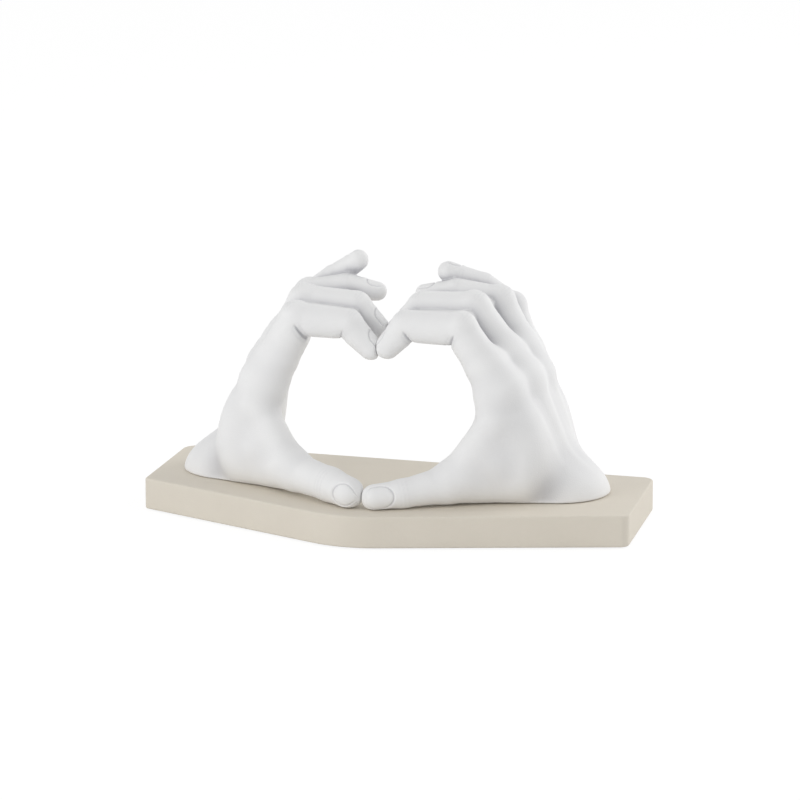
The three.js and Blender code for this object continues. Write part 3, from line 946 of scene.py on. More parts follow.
CLOUD_FLOOR = 0.35  # the noise below which no cloud shows
CLOUD_GAIN = 1.6
CLOUD_SHARE = 0.5  # of the dark tone in the middle of a cloud


class Nodes:
    """Builds a node tree: adds nodes, sets their values and links them."""

    def __init__(self, tree: bpy.types.NodeTree) -> None:
        """Keeps the tree to build in."""
        self.tree = tree

    def add(self, kind: str, **values: object) -> bpy.types.Node:
        """Adds a node.

        Args:
            kind: the node's type, without the prefix ShaderNode.
            values: properties of the node, or values or sources of its inputs, by name with _ for
                a space or by number as in i0; a socket as a value makes a link.

        Returns:
            The node.
        """
        node = self.tree.nodes.new("ShaderNode" + kind)
        for name, value in values.items():
            if hasattr(node, name):
                setattr(node, name, value)
                continue
            socket = node.inputs[int(name[1:]) if name[1:].isdigit() else name.replace("_", " ")]
            if isinstance(value, bpy.types.NodeSocket):
                self.tree.links.new(value, socket)
            else:
                socket.default_value = value
        return node

    def math(self, operation: str, first: object, second: object = 0.0, clamp: bool = False):
        """A Math node's output, from numbers or sockets."""
        return self.add("Math", operation=operation, use_clamp=clamp, i0=first, i1=second).outputs[0]

    def mixed(self, factor: object, first: object, second: object) -> bpy.types.NodeSocket:
        """A colour mixed from two colours or sockets."""
        return self.add("Mix", data_type="RGBA", i0=factor, i6=first, i7=second).outputs[2]


def rgb(code: str) -> tuple[float, float, float, float]:
    """A colour written as six hexadecimal digits, in scene-linear values."""
    parts = [int(code[i : i + 2], 16) / 255 for i in (0, 2, 4)]
    linear = [c / 12.92 if c <= 0.04045 else ((c + 0.055) / 1.055) ** 2.4 for c in parts]
    return (*linear, 1.0)


def grain_and_shade_group() -> bpy.types.NodeTree:
    """A surface's grain and painted shade: soft clouds of tone, fine specks, painted shade in hollows
    and creases, roughness and height.

    Returns:
        The group: tone = Light and Dark mixed by clouds, then darkened by the Hollow share towards the
            shade tone, as painted shade in hollows and creases;
        roughness = Roughness plus Spread times the clouds; height = fine noise times Speck plus
        waves times Wave.
    """
    name = "surface_grain"
    if name in bpy.data.node_groups:
        return bpy.data.node_groups[name]
    tree = bpy.data.node_groups.new(name, "ShaderNodeTree")
    inputs = {
        "Light": (0.8, 0.8, 0.8, 1),
        "Dark": (0.7, 0.7, 0.7, 1),
        "Cloud Scale": 40.0,
        "Grain Scale": 1200.0,
        # Hollow is the share of painted shade, and the tone after it the colour of that shade
        "Hollow": 0.0,
        "Hollow Tone": (0.5, 0.5, 0.5, 1),
        "Roughness": 0.6,
        "Spread": 0.1,
        "Speck": 1.0,
        "Wave": 0.5,
    }
    for label, value in inputs.items():
        kind = "NodeSocketColor" if isinstance(value, tuple) else "NodeSocketFloat"
        tree.interface.new_socket(label, in_out="INPUT", socket_type=kind).default_value = value
    for label, kind in (("Color", "Color"), ("Roughness", "Float"), ("Height", "Float")):
        tree.interface.new_socket(label, in_out="OUTPUT", socket_type="NodeSocket" + kind)
    make = Nodes(tree)
    given = tree.nodes.new("NodeGroupInput").outputs
    place = make.add("TexCoord").outputs["Object"]
    cloud = make.add("TexNoise", Vector=place, Scale=given["Cloud Scale"], Detail=3.0).outputs[0]
    grain = make.add("TexNoise", Vector=place, Scale=given["Grain Scale"], Detail=2.0).outputs[0]
    pits = make.add("TexVoronoi", Vector=place, Scale=given["Grain Scale"]).outputs["Distance"]
    above = make.math("SUBTRACT", cloud, CLOUD_FLOOR)
    share = make.math("MULTIPLY", make.math("MULTIPLY", above, CLOUD_GAIN, clamp=True), CLOUD_SHARE)
    clouded = make.mixed(share, given["Light"], given["Dark"])
    rough = make.math("MULTIPLY", make.math("SUBTRACT", cloud, 0.5), given["Spread"])
    speck = make.math("MULTIPLY", make.math("SUBTRACT", grain, pits), given["Speck"])
    wave = make.math("MULTIPLY", cloud, given["Wave"])
    out = tree.nodes.new("NodeGroupOutput").inputs
    # The clouded tone is darkened towards the shade tone by the share of painted shade
    tree.links.new(make.mixed(given["Hollow"], clouded, given["Hollow Tone"]), out["Color"])
    tree.links.new(make.math("ADD", given["Roughness"], rough), out["Roughness"])
    tree.links.new(make.math("ADD", speck, wave), out["Height"])
    return tree


@dataclass(frozen=True)
class Finish:
    """A finish with a grain: its tones, roughness, scales and depth of bump."""

    slot: Slot
    light: str
    dark: str
    roughness: float
    spread: float
    cloud_scale: float
    grain_scale: float
    speck: float
    wave: float
    bump: float
    # the tone of painted shade in hollows and creases; the dark tone if empty
    hollow: str = ""
    metallic: float = 0.0
    specular: float = 0.5
    sheen: float = 0.0

    def material(self) -> bpy.types.Material:
        """The finish as a material that reads Object coordinates, and the attribute "hollow" as its
        share of painted shade.
        """
        name = self.slot.value + "_finish"
        if name in bpy.data.materials:
            return bpy.data.materials[name]
        made = bpy.data.materials.new(name)
        made.use_nodes = True
        make = Nodes(made.node_tree)
        shader = made.node_tree.nodes["Principled BSDF"]
        group = made.node_tree.nodes.new("ShaderNodeGroup")
        group.node_tree = grain_and_shade_group()
        values = {
            "Light": rgb(self.light),
            "Dark": rgb(self.dark),
            "Cloud Scale": self.cloud_scale,
            "Grain Scale": self.grain_scale,
            "Hollow Tone": rgb(self.hollow or self.dark),
            "Roughness": self.roughness,
            "Spread": self.spread,
            "Speck": self.speck,
            "Wave": self.wave,
        }
        for label, value in values.items():
            group.inputs[label].default_value = value
        # the share of painted shade in hollows and creases, written on the mesh
        hollow = make.add("Attribute", attribute_name="hollow").outputs["Fac"]
        bump = make.add("Bump", Strength=1.0, Distance=self.bump * MM, Height=group.outputs["Height"])
        shader.inputs["Metallic"].default_value = self.metallic
        shader.inputs["Specular IOR Level"].default_value = self.specular
        shader.inputs["Sheen Weight"].default_value = self.sheen
        links = made.node_tree.links
        links.new(hollow, group.inputs["Hollow"])
        links.new(group.outputs["Color"], shader.inputs["Base Color"])
        links.new(group.outputs["Roughness"], shader.inputs["Roughness"])
        links.new(bump.outputs["Normal"], shader.inputs["Normal"])
        made.diffuse_color = rgb(self.light)
        return made


CAST_WHITE = Finish(
    slot=Slot.CAST,
    light="F6F6F6",
    dark="EEEEEF",
    roughness=0.62,
    spread=0.14,
    cloud_scale=55.0,
    grain_scale=1500.0,
    speck=0.8,
    wave=1.2,
    bump=0.05,
    # painted shade: the tone that hollows, finger slots, the palm and creases are darkened to
    hollow="CFCFD2",
    specular=0.35,
)
LACQUER = Finish(
    slot=Slot.LACQUER,
    light="E5DED1",
    dark="DBD3C5",
    roughness=0.66,
    spread=0.12,
    cloud_scale=30.0,
    grain_scale=1100.0,
    speck=1.0,
    wave=0.8,
    bump=0.05,
    # painted contact shade tone; the board's shade share is zero everywhere, so it never shows
    hollow="C4BAA9",
    specular=0.35,
)
FELT = Finish(
    slot=Slot.FELT,
    light="6A655E",
    dark="4F4B45",
    roughness=0.97,
    spread=0.04,
    cloud_scale=420.0,
    grain_scale=2600.0,
    speck=1.5,
    wave=2.0,
    bump=0.25,
    specular=0.15,
    sheen=0.3,
)
STEEL = Finish(
    slot=Slot.STEEL,
    light="B4B7BB",
    dark="9B9EA3",
    roughness=0.36,
    spread=0.2,
    cloud_scale=500.0,
    grain_scale=4200.0,
    speck=1.0,
    wave=0.3,
    bump=0.02,
    metallic=1.0,
)
BRASS = replace(
    STEEL,
    slot=Slot.BRASS,
    light="C49C4E",
    dark="A37F3C",
    roughness=0.34,
    cloud_scale=420.0,
    grain_scale=3600.0,
)


# ---- Pieces ----


@dataclass(frozen=True)
class Heart:
    """Where the heart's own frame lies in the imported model, in metres."""

    origin: Array

    @staticmethod
    def from_frame() -> "Heart":
        """Found from the heel screws, 57 mm behind the origin, and from the plinth's top."""
        sides = [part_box(f"{side}_heel_screw") for side in ("left", "right")]
        middles = np.array([np.array(low) / 2 + np.array(high) / 2 for low, high in sides])
        x, y = middles[:, 0].mean(), middles[:, 1].mean() - RIGHT_HAND.screws[0][1] * MM
        return Heart(np.array([x, y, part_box("plinth")[1].z]))

    def metres(self, points: Array) -> Array:
        """Places of the heart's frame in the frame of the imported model."""
        return np.asarray(points, float) * MM + self.origin


def linked(name: str, data: bpy.types.ID) -> bpy.types.Object:
    """An object with the data, linked to the scene."""
    made = bpy.data.objects.new(name, data)
    bpy.context.scene.collection.objects.link(made)
    return made


def band(low: Array, high: Array, inward: bool = False) -> list:
    """Quads between two counterclockwise rings of vertex numbers, facing away from their middle.

    Args:
        low: the vertices of the lower ring.
        high: those of the upper ring.
        inward: whether the quads face the middle instead.

    Returns:
        Rows of four vertex numbers.
    """
    quads = np.stack([low, np.roll(low, -1), np.roll(high, -1), high], 1)
    return (np.roll(quads[:, ::-1], 1, 1) if inward else quads).tolist()


def add_piece(
    name: str,
    places: Array,
    faces: Array | list,
    finish: Finish,
    nodes: tuple[str, ...],
    sharp: float | None = None,
    hollow: Array | None = None,
) -> bpy.types.Object:
    """Adds a piece that rides on the root body and stands for some CAD nodes.

    Args:
        name: name of the piece.
        places: its vertices in metres.
        faces: its faces, as rows of vertex numbers.
        finish: the finish that it takes.
        nodes: the CAD nodes that it replaces.
        sharp: angle in degrees above which an edge is sharp, or None where all is smooth.
        hollow: for each vertex how much painted shade darkens it, from 0 to 1, as deep as it lies in a
            hollow or crease.

    Returns:
        The object.
    """
    mesh = bpy.data.meshes.new(name)
    mesh.from_pydata(np.asarray(places).tolist(), [], [list(map(int, f)) for f in faces])
    mesh.validate()
    mesh.shade_smooth()
    if sharp is not None:
        mesh.set_sharp_from_angle(angle=math.radians(sharp))
    # The share of painted shade, which the finish reads
    depth = mesh.attributes.new("hollow", "FLOAT", "POINT")
    values = np.zeros(len(mesh.vertices), np.float32) if hollow is None else hollow
    depth.data.foreach_set("value", values.astype(np.float32))
    mesh.materials.append(finish.material())
    made = linked(name, mesh)
    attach(made, "root")
    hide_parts(*nodes)
    mesh.calc_loop_triangles()
    LOG.info("%s: %d triangles", name, len(mesh.loop_triangles))
    return made


@dataclass
class Casting:
    """One of the two hands, cast in one piece with its nails, creases and tendons."""

    hand: Hand
    heart: Heart
    step: float
    finish: Finish = CAST_WHITE
    low: Place = (-2.0, -16, -2)  # a box round the whole hand
    high: Place = (112.0, 96, 118)
    reaches: tuple[float, ...] = (1.2, 3.5, 9.0)  # how far out the skin looks for itself, for the painted shade
    enclosed_shade_share: float = 1.5  # painted shade: how much skin nearby, and a pressed line, darken a place
    pressed_shade_share: float = 0.8

    def reliefs(self) -> list[Relief]:
        """All that is pressed into the skin or stands under it."""
        found: list[Relief] = []
        for finger in self.hand.fingers:
            found += self.finger_reliefs(finger)
        found += self.thumb_reliefs(self.hand.thumb)
        for start, finger, rise in zip(self.hand.wrist, self.hand.fingers, TENDON_RISES):
            ends = (np.array(place, float) for place in (start, finger.joints[0]))
            found.append(RidgeRelief(*ends, BACK_WAY, rise, TENDON_WIDTH))
        return [*found, *PALM_LINES, VALLEY]

    @staticmethod
    def finger_reliefs(finger: Finger) -> list[Relief]:
        """A finger's nail and the creases of its joints, deep in the palm and faint on the back."""
        joints = np.array(finger.joints, float)
        ways, palm = finger.directions(), finger.palm_sides()
        found: list[Relief] = [
            NailRelief(joints[3], ways[2], -palm[2], finger.flesh[3] + NAIL_RISE, finger.nail)
        ]
        for number, depth in enumerate(finger.creases, 1):
            across = unit(ways[number - 1] + ways[number])
            side = unit(palm[number - 1] + palm[number])
            place, radius = joints[number], finger.flesh[number]
            found.append(CreaseRelief(place, across, side, radius, depth, **INNER_CREASE))
            found.append(CreaseRelief(place, across, -side, radius, **BACK_CREASE))
        return found

    @staticmethod
    def thumb_reliefs(thumb: Thumb) -> list[Relief]:
        """The thumb's nail and the creases of its end joint."""
        joints = np.array(thumb.joints, float)
        ways = unit(np.diff(joints, axis=0))
        side = np.array(thumb.nail_side)
        side = unit(side - ways[2] * (side @ ways[2]))
        across = unit(ways[1] + ways[2])
        return [
            NailRelief(joints[3], ways[2], side, thumb.flesh[3] + THUMB_NAIL_RISE, thumb.nail),
            CreaseRelief(joints[2], across, side, thumb.flesh[2], **THUMB_BACK_CREASE),
            CreaseRelief(joints[2], across, -side, thumb.flesh[2], **THUMB_CREASE),
        ]

    def surface(self) -> tuple[Array, Array, Array]:
        """The skin: vertices, triangles, and the painted shade at each vertex, as closed in or pressed
        as its place is.

        Returns:
            The vertices in the heart's frame for a right hand, the triangles, and the painted shade
            from 0 to 1.
        """
        shape = self.hand.shape()
        mesher = SkinMesher(shape, np.array(self.low), np.array(self.high), self.step)
        places, triangles = mesher.mesh()
        reliefs = self.reliefs()
        for _ in range(2):
            busy = np.zeros(len(places), bool)
            for relief in reliefs:
                busy |= relief.busy(places)
            places, triangles, old = refined(places, triangles, busy)
            if len(places) > old:
                new = places[old:]
                places[old:] = Blocks(shape, new, 0.5).settled(new, 0.3 * self.step)
        normals = unit(Blocks(shape, places, 0.5).slopes(places))
        wide = sum(r.height(places) for r in reliefs if isinstance(r, HollowRelief))
        pressed = sum(r.height(places) for r in reliefs if not isinstance(r, HollowRelief))
        # Nothing is pressed into the flat underside
        raised = ramp(places[:, 2], GAP + 0.1, GAP + 1.2)
        places = places + normals * ((wide + pressed) * raised)[:, None]
        # Painted shade: the more skin lies within each reach along the normal, the darker the place is
        # painted
        closed = np.zeros(len(places))
        for reach in self.reaches:
            outside = places + normals * reach
            closed += (1 - Blocks(shape, outside, reach).distances(outside) / reach) / 3
        # Pressed creases, nail grooves and palm lines get painted shade as well
        hollow = closed * self.enclosed_shade_share + np.maximum(-pressed, 0) * self.pressed_shade_share
        return places, triangles, np.clip(hollow, 0, 1) * raised

    def build(self) -> bpy.types.Object:
        """Adds the casting, mirrored for the left hand."""
        places, triangles, hollow = self.surface()
        if self.hand.side < 0:
            places = places * np.array([-1.0, 1.0, 1.0])
            triangles = triangles[:, ::-1]
        name = "cast_" + self.hand.name
        metres = self.heart.metres(places)
        return add_piece(name, metres, triangles, self.finish, (self.hand.name,), hollow=hollow)


@dataclass
class Plinth:
    """The lacquered board: five rounded corners, soft edges, recesses and bores underneath."""

    heart: Heart
    corners: tuple[tuple[float, float, float], ...] = (
        (-4, -23.9, 48),
        (125.8, 17.2, 5),
        (120.4, 93.3, 6),
        (-120.4, 93.3, 8),
        (-117.8, 21.5, 2.5),
    )
    thickness: float = 15.4
    edge: float = 0.9
    pad_radius: float = 7.0
    pad_margin: float = 6.0
    pad_recess: float = 1.5
    counterbore: tuple[float, float] = (4.8, 7.0)
    bore_radius: float = 2.3
    hole_sides: int = 48
    finish: Finish = LACQUER

    def corner_frames(self) -> tuple[Array, Array, Array, Array]:
        """For each corner its place, the ways to the ones before and after, and the half angle."""
        places = np.array([c[:2] for c in self.corners], float)
        before = unit(np.roll(places, 1, 0) - places)
        after = unit(np.roll(places, -1, 0) - places)
        half = np.arccos(np.sum(before * after, 1)) / 2
        return places, before, after, half

    def inset(self, distance: float | Array) -> Array:
        """The place in each corner that lies `distance` in from both edges."""
        places, before, after, half = self.corner_frames()
        return places + unit(before + after) * (np.asarray(distance) / np.sin(half))[:, None]

    def outline(self, arc_steps: int = 16, side_steps: int = 24) -> tuple[Array, Array]:
        """The outline, counterclockwise: an arc centre + r (cos a, sin a) in each corner, then a side.

        Args:
            arc_steps: steps on each arc.
            side_steps: steps on each side.

        Returns:
            Its points and the outward direction at each.
        """
        radii = np.array([c[2] for c in self.corners], float)
        centres = self.inset(radii)
        _, before, after, _ = self.corner_frames()
        start = np.arctan2(-before[:, 0], before[:, 1]) + math.pi
        turn = np.mod(np.arctan2(-after[:, 0], after[:, 1]) - start, 2 * math.pi)
        angles = start[:, None] + turn[:, None] * np.linspace(0, 1, arc_steps + 1)
        ways = np.stack([np.cos(angles), np.sin(angles)], -1)
        arcs = centres[:, None] + radii[:, None, None] * ways
        share = np.linspace(0, 1, side_steps + 1)[1:-1, None]
        ends, heads = arcs[:, -1:], np.roll(arcs[:, :1], -1, 0)
        sides = ends * (1 - share) + heads * share
        side_ways = np.broadcast_to(ways[:, -1:], sides.shape)
        points = np.concatenate([arcs, sides], 1).reshape(-1, 2)
        return points, np.concatenate([ways, side_ways], 1).reshape(-1, 2)

    def pads(self) -> Array:
        """The middles of the felt pads, one in each corner."""
        return self.inset(np.full(len(self.corners), self.pad_radius + self.pad_margin))

    def wall(self) -> Array:
        """Steps (inset, z) up the wall: a quarter circle at each edge, with a ring beside each.

        Returns:
            An (n, 2) array from the underside to the top.
        """
        angles = np.linspace(0, math.pi / 2, 7)
        curve = np.stack([self.edge * (1 - np.sin(angles)), self.edge * (1 - np.cos(angles))], -1)
        low = np.array([[self.edge + 0.5, 0.0]])
        up = np.array([[0.0, self.edge + 0.5]])
        lower = np.concatenate([low, curve, up])
        upper = lower[::-1] * [1, -1] + [0, self.thickness]
        return np.concatenate([lower, upper]) - [0, self.thickness]

    def holes(self) -> list[tuple[Array, list[tuple[float, float]]]]:
        """The recesses and the bores: for each its middle and rows (radius, z) from below."""
        floor = -self.thickness
        radius = self.pad_radius + GAP
        recess = [(radius + 0.25, floor), (radius, floor + 0.25), (radius, floor + self.pad_recess)]
        wide, deep = self.counterbore
        bore = [(wide + 0.3, floor), (wide, floor + 0.3), (wide, floor + deep)]
        bore += [(self.bore_radius, floor + deep), (self.bore_radius, 0.0)]
        screws = [np.array([side * x, y]) for side in (-1, 1) for x, y in RIGHT_HAND.screws]
        return [(middle, recess) for middle in self.pads()] + [(middle, bore) for middle in screws]

    def build(self) -> bpy.types.Object:
        """Adds the board: rings up the wall, the top, and an underside with its holes."""
        points, ways = self.outline()
        count = len(points)
        rows = [np.column_stack([points - ways * inset, np.full(count, z)]) for inset, z in self.wall()]
        rims = np.arange(count * len(rows)).reshape(-1, count)
        faces: list = []
        for low, high in zip(rims, rims[1:]):
            faces += band(low, high)
        angles = np.linspace(0, 2 * math.pi, self.hole_sides, endpoint=False)
        circle = np.stack([np.cos(angles), np.sin(angles)], -1)
        total = rims.size
        mouths, outlets = [], []
        for middle, profile in self.holes():
            level = np.ones(self.hole_sides)
            rows += [np.column_stack([middle + radius * circle, level * z]) for radius, z in profile]
            rings = total + np.arange(len(profile) * self.hole_sides).reshape(-1, self.hole_sides)
            total += rings.size
            for low, high in zip(rings, rings[1:]):
                faces += band(low, high, inward=True)
            mouths.append(rings[0])
            if profile[-1][1] < 0:
                faces.append(rings[-1][::-1].tolist())
            else:
                outlets.append(rings[-1])
        every = np.concatenate(rows)
        faces += self.plate(every, rims[0], mouths, facing_up=False)
        faces += self.plate(every, rims[-1], outlets, facing_up=True)
        metres = self.heart.metres(every)
        return add_piece("plinth_board", metres, faces, self.finish, ("plinth",), sharp=35.0)

    @staticmethod
    def plate(every: Array, rim: Array, holes: list[Array], facing_up: bool) -> list:
        """Triangles that fill a flat rim round some holes.

        Args:
            every: all vertices.
            rim: numbers of the rim's vertices.
            holes: numbers of each hole's vertices.
            facing_up: whether the plate faces up.

        Returns:
            Rows of three vertex numbers.
        """
        loops = [rim, *holes]
        flat = [[Vector((*every[i][:2], 0.0)) for i in loop] for loop in loops]
        numbers = np.concatenate(loops)
        found = numbers[np.array(geometry.tessellate_polygon(flat))]
        a, b, c = (every[found[:, i]][:, :2] for i in range(3))
        turn = (b - a)[:, 0] * (c - a)[:, 1] - (b - a)[:, 1] * (c - a)[:, 0]
        wrong = (turn > 0) != facing_up
        found[wrong] = found[wrong][:, ::-1]
        return found.tolist()


@dataclass(frozen=True)
class Turned:
    """A piece turned about an upright axis from a profile of (radius, z, hexagon) rows.

    At angle a the radius is r (1 - h + h cos 30 / cos(a mod 60 - 30)), so h = 1 is a hexagon.
    A radius of 0 at an end closes the piece with one vertex, and a closed profile runs round.
    """

    profile: tuple[tuple[float, float, float], ...]
    closed: bool = False
    segments: int = 72

    def mesh(self) -> tuple[Array, list]:
        """The vertices round the z axis and the faces, facing out for a profile that runs upwards."""
        rows = np.array(self.profile, float)
        angles = np.linspace(0, 2 * math.pi, self.segments, endpoint=False)
        sixth = math.pi / 3
        hexagon = math.cos(sixth / 2) / np.cos(np.mod(angles, sixth) - sixth / 2)
        poles = [i for i in (0, len(rows) - 1) if not self.closed and rows[i, 0] == 0]
        kept = [i for i in range(len(rows)) if i not in poles]
        radius = rows[kept, 0, None] * (1 + rows[kept, 2, None] * (hexagon - 1))
        heights = np.broadcast_to(rows[kept, 1, None], radius.shape)
        grid = np.stack([radius * np.cos(angles), radius * np.sin(angles), heights], -1)
        places = grid.reshape(-1, 3)
        rings = np.arange(len(places)).reshape(-1, self.segments)
        faces: list = []
        for low, high in zip(rings, [*rings[1:], rings[0]] if self.closed else rings[1:]):
            faces += band(low, high)
        for pole in poles:
            ring = rings[-1] if pole else rings[0][::-1]
            tip = np.full(self.segments, len(places))
            faces += np.stack([ring, np.roll(ring, -1), tip], 1).tolist()
            places = np.concatenate([places, [[0, 0, rows[pole, 1]]]])
        return places, faces


@dataclass
class Fastening:
    """An M4 cap screw that comes up through the plinth, its washer, and the casting's insert.

    The sizes are in millimetres, and a pair holds a radius and a height.
    """

    name: str
    x: float
    y: float
    heart: Heart
    plinth: Plinth
    head: tuple[float, float] = (3.5, 4)
    socket: tuple[float, float] = (1.62, 2)
    shank: float = 2.0
    screw_rise: float = 7
    washer_radius: float = 4.5
    washer_height: float = 0.8
    bore: float = 2.3
    insert: tuple[float, float] = (3.5, 8)
    groove: tuple[float, float] = (3.1, 1.2)
    groove_rise: float = 3.4

    def screw(self, top: float) -> Turned:
        """The screw, with the top of its head at height `top`, and a hexagonal socket."""
        (head, height), (socket, depth), shank = self.head, self.socket, self.shank
        low, end = top - height, GAP + self.screw_rise
        hollow = ((0, low + depth, 0), (socket, low + depth, 1), (socket, low + 0.25, 1))
        rim = ((1.9, low, 0.8), (3.0, low, 0), (3.36, low + 0.1, 0), (head, low + 0.45, 0))
        seat = ((head, top - 0.15, 0), (head - 0.1, top, 0), (shank, top, 0))
        return Turned(
            (*hollow, *rim, *seat, (shank, end - 0.5, 0), (shank - 0.5, end, 0), (0, end, 0))
        )

    def washer(self, top: float) -> Turned:
        """The washer, with its top at height `top` and its edges broken."""
        low, bore, rim = top - self.washer_height, self.bore, self.washer_radius
        under = ((bore, low + 0.1, 0), (bore + 0.1, low, 0), (rim - 0.15, low, 0))
        side = ((rim, low + 0.15, 0), (rim, top - 0.15, 0))
        over = ((rim - 0.15, top, 0), (bore + 0.1, top, 0), (bore, top - 0.1, 0))
        return Turned((*under, *side, *over), closed=True)

    def threaded(self) -> Turned:
        """The insert, a brass sleeve with a groove that the casting holds."""
        (rim, height), (waist, wide) = self.insert, self.groove
        low, top, start = GAP, GAP + height, GAP + self.groove_rise
        notch = ((rim, start, 0), (waist, start, 0), (waist, start + wide, 0), (rim, start + wide, 0))
        ends = ((self.bore, low, 0), (rim, low, 0)), ((rim, top, 0), (self.bore, top, 0))
        return Turned((*ends[0], *notch, *ends[1]), closed=True)

    def build(self) -> None:
        """Adds the screw, the washer and the insert."""
        washer_top = -self.plinth.thickness + self.plinth.counterbore[1] - GAP
        head_top = washer_top - self.washer_height - GAP
        for kind, shape, finish in (
            ("screw", self.screw(head_top), STEEL),
            ("washer", self.washer(washer_top), STEEL),
            ("insert", self.threaded(), BRASS),
        ):
            places, faces = shape.mesh()
            node = f"{self.name}_{kind}"
            metres = self.heart.metres(places + [self.x, self.y, 0])
            add_piece("turned_" + node, metres, faces, finish, (node,), sharp=32.0)


@dataclass
class FeltPad:
    """A felt pad in its recess, with a slightly rounded, uneven rim."""

    number: int
    x: float
    y: float
    heart: Heart
    plinth: Plinth
    proud: float = 0.8

    def build(self) -> bpy.types.Object:
        """Adds the pad, a turned disc whose rim wavers.

        At angle a its radius is r (1 - 0.006 (1 + sin 9a) / 2 - 0.004 (1 + sin 23a) / 2).
        """
        low = -self.plinth.thickness - self.proud
        top = -self.plinth.thickness + self.plinth.pad_recess - GAP
        radius = self.plinth.pad_radius
        rows = [(0, low), (radius * 0.6, low), (radius - 0.45, low), (radius - 0.12, low + 0.12)]
        rows += [(radius, low + 0.4), (radius, top - 0.2), (radius - 0.2, top), (0, top)]
        places, faces = Turned(tuple((r, z, 0) for r, z in rows), segments=96).mesh()
        angle = np.arctan2(places[:, 1], places[:, 0]) + self.number
        waver = 1 - 0.006 * (1 + np.sin(9 * angle)) / 2 - 0.004 * (1 + np.sin(23 * angle)) / 2
        places[:, :2] *= waver[:, None]
        metres = self.heart.metres(places + [self.x, self.y, 0])
        node = f"pad_{self.number}"
        return add_piece("felt_" + node, metres, faces, FELT, (node,), sharp=50.0)


# ---- Studio ----


def seen_directly(make: Nodes) -> bpy.types.NodeSocket:
    """1 for a ray from the camera, a gloss or a glass, and 0 for any other."""
    path = make.add("LightPath").outputs
    seen = make.math("MAXIMUM", path["Is Camera Ray"], path["Is Glossy Ray"])
    return make.math("MAXIMUM", seen, path["Is Transmission Ray"])


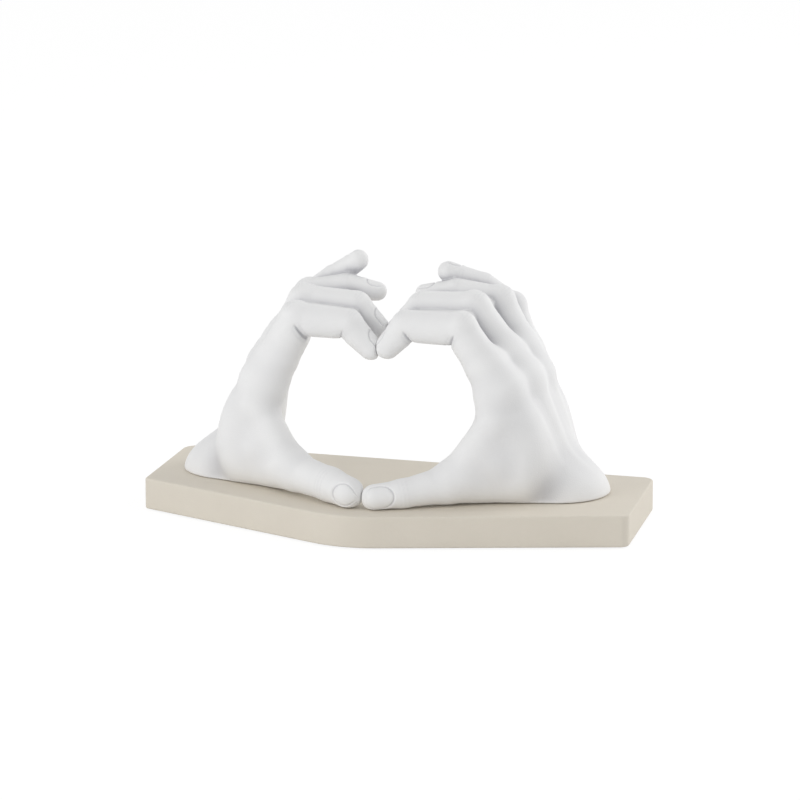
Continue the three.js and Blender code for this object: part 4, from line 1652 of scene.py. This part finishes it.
@dataclass
class Studio:
    """A white sweep, two soft boxes, and a camera that stands as in the photograph.

    The boxes stand at the front left and the back right, and the places of the camera and its
    target are in millimetres in the heart's frame.
    """

    heart: Heart
    target: Place = (0, 30, 45)
    turn: float = 16.7
    rise: float = 13.2
    distance: float = 2200.0
    focal_pixels: float = 4583.0
    picture: int = 800
    shift_pixels: float = 19.0
    base: float = 0.52
    lobes: tuple[tuple[Place, float], ...] = (
        ((0.958, 0.287, 0), 0.29),
        ((-0.958, -0.287, 0), 0.12),
    )
    aim: Place = (0.0, 0.0, 0.06)  # what the soft boxes face, in metres
    box_size: float = 0.9
    boxes: tuple[tuple[str, Place, float], ...] = (
        ("front_left", (-0.8, -1.1, 0.6), 6.0),
        ("back_right", (0.9, 0.9, 0.7), 6.2),
    )
    floor_size: float = 6.0
    floor_tone: float = 0.88
    glow: float = 1.1
    glow_share: float = 0.8

    def camera(self) -> None:
        """Adds the camera: `distance` from the target, turned to the object's right and raised."""
        turn, rise = math.radians(self.turn), math.radians(self.rise)
        back = np.array(
            [math.sin(turn) * math.cos(rise), -math.cos(turn) * math.cos(rise), math.sin(rise)]
        )
        data = bpy.data.cameras.new("camera")
        data.sensor_width = 36.0
        data.lens = self.focal_pixels * data.sensor_width / self.picture
        data.shift_x = self.shift_pixels / self.picture
        data.clip_start, data.clip_end = 0.05, 30.0
        made = linked("camera", data)
        made.location = self.heart.metres(np.array(self.target) + back * self.distance)
        made.rotation_euler = Vector(-back).to_track_quat("-Z", "Y").to_euler()
        bpy.context.scene.camera = made

    def lamps(self) -> None:
        """Adds the soft boxes, which face what lies a little above the plinth."""
        for name, place, power in self.boxes:
            data = bpy.data.lights.new(name, "AREA")
            data.shape = "RECTANGLE"
            data.size = data.size_y = self.box_size
            data.energy = power
            made = linked(name, data)
            made.location = place
            way = Vector(self.aim) - Vector(place)
            made.rotation_euler = way.to_track_quat("-Z", "Y").to_euler()

    def world(self) -> None:
        """Makes the world white where the camera, a gloss or a glass sees it, and a tent elsewhere.

        The tent's light from a direction d is base + the sum of each lobe's strength times
        max(0, d . way), with the way of the lobe.
        """
        world = bpy.data.worlds.new("studio")
        world.use_nodes = True
        bpy.context.scene.world = world
        make = Nodes(world.node_tree)
        background = world.node_tree.nodes["Background"]
        seen = seen_directly(make)
        direction = make.add("TexCoord").outputs["Generated"]
        light: object = self.base
        for way, strength in self.lobes:
            dot = make.add("VectorMath", operation="DOT_PRODUCT", i0=direction, i1=tuple(unit(way)))
            facing = make.math("MAXIMUM", dot.outputs["Value"], 0.0)
            light = make.math("ADD", light, make.math("MULTIPLY", facing, strength))
        dark = make.math("MULTIPLY", light, make.math("SUBTRACT", 1.0, seen))
        background.inputs["Color"].default_value = (1, 1, 1, 1)
        world.node_tree.links.new(make.math("ADD", dark, seen), background.inputs["Strength"])

    def floor(self) -> None:
        """Adds a wide white floor that keeps the shadow but is near white to the camera."""
        size = self.floor_size
        mesh = bpy.data.meshes.new("floor")
        corners = [(-size, -size, 0), (size, -size, 0), (size, size, 0), (-size, size, 0)]
        mesh.from_pydata(corners, [], [(0, 1, 2, 3)])
        made = linked("floor", mesh)
        paper = bpy.data.materials.new("paper")
        paper.use_nodes = True
        tree = paper.node_tree
        make = Nodes(tree)
        tree.nodes.remove(tree.nodes["Principled BSDF"])
        matt = make.add("BsdfDiffuse", Color=(*[self.floor_tone] * 3, 1))
        glow = make.add("Emission", Color=(1, 1, 1, 1), Strength=self.glow)
        share = make.math("MULTIPLY", seen_directly(make), self.glow_share)
        mixed = make.add("MixShader", i0=share, i1=matt.outputs[0], i2=glow.outputs[0])
        tree.links.new(mixed.outputs[0], tree.nodes["Material Output"].inputs["Surface"])
        mesh.materials.append(paper)

    def build(self) -> None:
        """Sets up the whole studio."""
        bpy.context.scene.view_settings.view_transform = "Standard"
        self.world()
        self.floor()
        self.lamps()
        self.camera()


def main() -> None:
    logging.basicConfig(level=logging.INFO, format="%(name)s %(message)s")
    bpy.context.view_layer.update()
    heart = Heart.from_frame()
    step = 0.92
    plinth = Plinth(heart)
    plinth.build()
    for hand in (LEFT_HAND, RIGHT_HAND):
        Casting(hand, heart, step).build()
        for end, (x, y) in zip(("heel", "thumb"), hand.screws):
            name = hand.name.split("_")[0] + "_" + end
            Fastening(name, hand.side * x, y, heart, plinth).build()
    for number, (x, y) in enumerate(plinth.pads(), 1):
        FeltPad(number, x, y, heart, plinth).build()
    Studio(heart).build()


if __name__ == "__main__":
    main()
